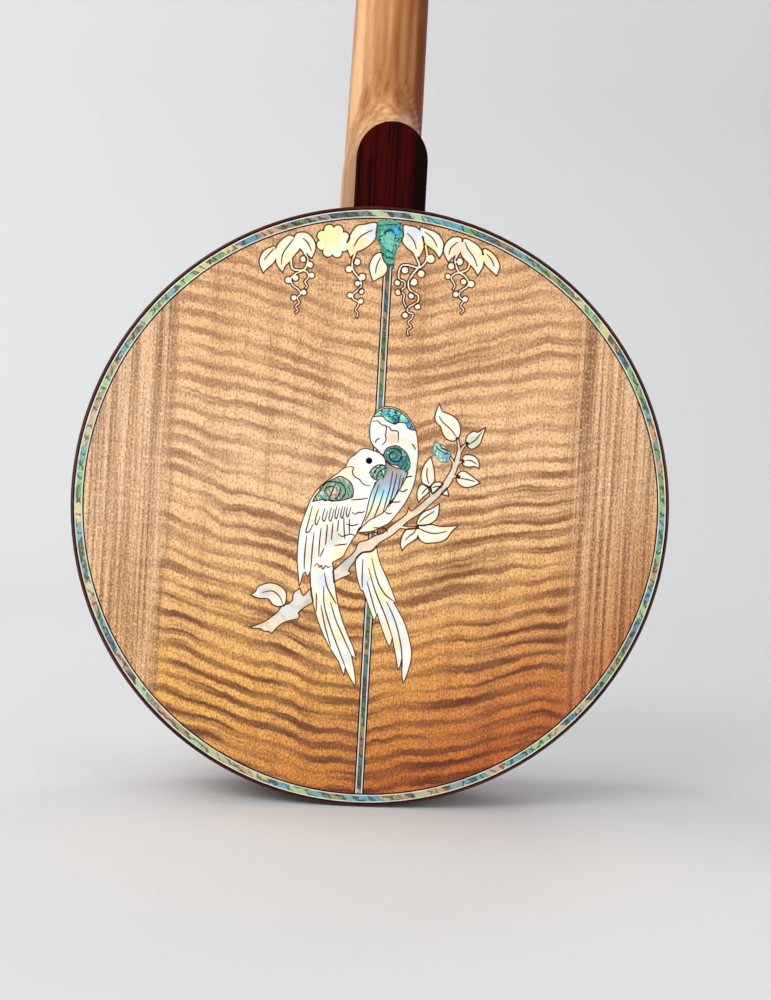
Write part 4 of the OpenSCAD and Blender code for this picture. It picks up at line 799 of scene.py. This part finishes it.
# ---------------------------------------------------------------- floor, backdrop and light
# A sheet of pale paper lies level, then curves up behind the banjo. Its places are from the back's face.
PAPER = (222, 222, 222)
FLOOR_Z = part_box("resonator_side")[0].z - 0.5 * MM
PAPER_FRONT = -12.0
CURVE_FROM = 1.1
CURVE_R = 0.9
PAPER_TOP = 4.0
HALF_WIDE = 12.0
CURVE_STEPS = 24
turns = [i * math.pi / 2 / CURVE_STEPS for i in range(1, CURVE_STEPS + 1)]
profile = ([(PAPER_FRONT, 0.0), (CURVE_FROM, 0.0)]
           + [(CURVE_FROM + CURVE_R * math.sin(t), CURVE_R * (1 - math.cos(t))) for t in turns]
           + [(CURVE_FROM + CURVE_R, PAPER_TOP)])
paper_points = [(x, FACE_Y + y, FLOOR_Z + z) for y, z in profile for x in (-HALF_WIDE, HALF_WIDE)]
paper_faces = [(2 * i, 2 * i + 1, 2 * i + 3, 2 * i + 2) for i in range(len(profile) - 1)]
paper_mesh = bpy.data.meshes.new("floor")
paper_mesh.from_pydata(paper_points, [], paper_faces)
paper_mesh.shade_smooth()
paper_mesh.materials.append(Graph("paper", roughness=0.85, Base_Color=flat(*PAPER)).mat)
show("floor", paper_mesh)

SKY = (238, 240, 244)
SKY_STRENGTH = 0.55
world = bpy.data.worlds.new("studio")
world.use_nodes = True
world.node_tree.nodes["Background"].inputs[0].default_value = flat(*SKY)
world.node_tree.nodes["Background"].inputs[1].default_value = SKY_STRENGTH
bpy.context.scene.world = world
bpy.context.scene.view_settings.view_transform = "Standard"


def softbox(name, at, aim, width, height, power, colour=(1.0, 1.0, 1.0)):
    """A rectangular light at a point, turned to shine at another, with its power in watts."""
    data = bpy.data.lights.new(name, "AREA")
    data.shape = "RECTANGLE"
    data.size = width
    data.size_y = height
    data.energy = power
    data.color = colour
    lamp = show(name, data)
    lamp.location = at
    lamp.rotation_euler = (Vector(aim) - Vector(at)).to_track_quat("-Z", "Y").to_euler()


middle = (POT.x, FACE_Y, POT.z)
WARM = (1.0, 0.99, 0.97)
softbox("key", (-1.15, -1.55, 0.6), middle, 1.2, 1.2, 25.0, WARM)
softbox("fill", (1.3, -1.7, -0.1), middle, 1.0, 1.4, 9.0)
softbox("low", (-0.5, -1.8, -0.75), middle, 1.4, 0.5, 6.0)
softbox("backdrop", (-1.2, 0.3, 0.9), (-0.4, 1.9, -0.7), 1.2, 1.2, 14.0)
softbox("front_key", (0.9, 2.0, 0.9), (0, 0, -0.5), 1.2, 1.2, 26.0)

# ---------------------------------------------------------------- camera
# It looks at a point beside the middle of the back, from DISTANCE away. VIEW_HEIGHT is what it sees there.
AZIMUTH = math.radians(-4.6)
ELEVATION = math.radians(1.5)
ROLL = math.radians(3.2)
DISTANCE = 0.9
SHIFT_RIGHT = 6.4 * MM
SHIFT_UP = 4.6 * MM
VIEW_HEIGHT = 0.581
SENSOR = 36.0
away = Vector((math.sin(AZIMUTH) * math.cos(ELEVATION), -math.cos(AZIMUTH) * math.cos(ELEVATION),
               math.sin(ELEVATION)))
turned = (-away).to_track_quat("-Z", "Y").to_matrix()
across, above = turned.col[0].copy(), turned.col[1].copy()
right = across * math.cos(ROLL) + above * math.sin(ROLL)
upward = above * math.cos(ROLL) - across * math.sin(ROLL)
turned.col[0], turned.col[1], turned.col[2] = right, upward, away
camera_data = bpy.data.cameras.new("camera")
camera_data.sensor_fit = "AUTO"
camera_data.sensor_width = SENSOR
camera_data.lens = SENSOR * DISTANCE / VIEW_HEIGHT
camera = show("camera", camera_data)
camera.rotation_mode = "QUATERNION"
camera.rotation_quaternion = turned.to_quaternion()
camera.location = Vector(middle) + right * SHIFT_RIGHT + upward * SHIFT_UP + away * DISTANCE
bpy.context.scene.camera = camera

bpy.context.view_layer.update()
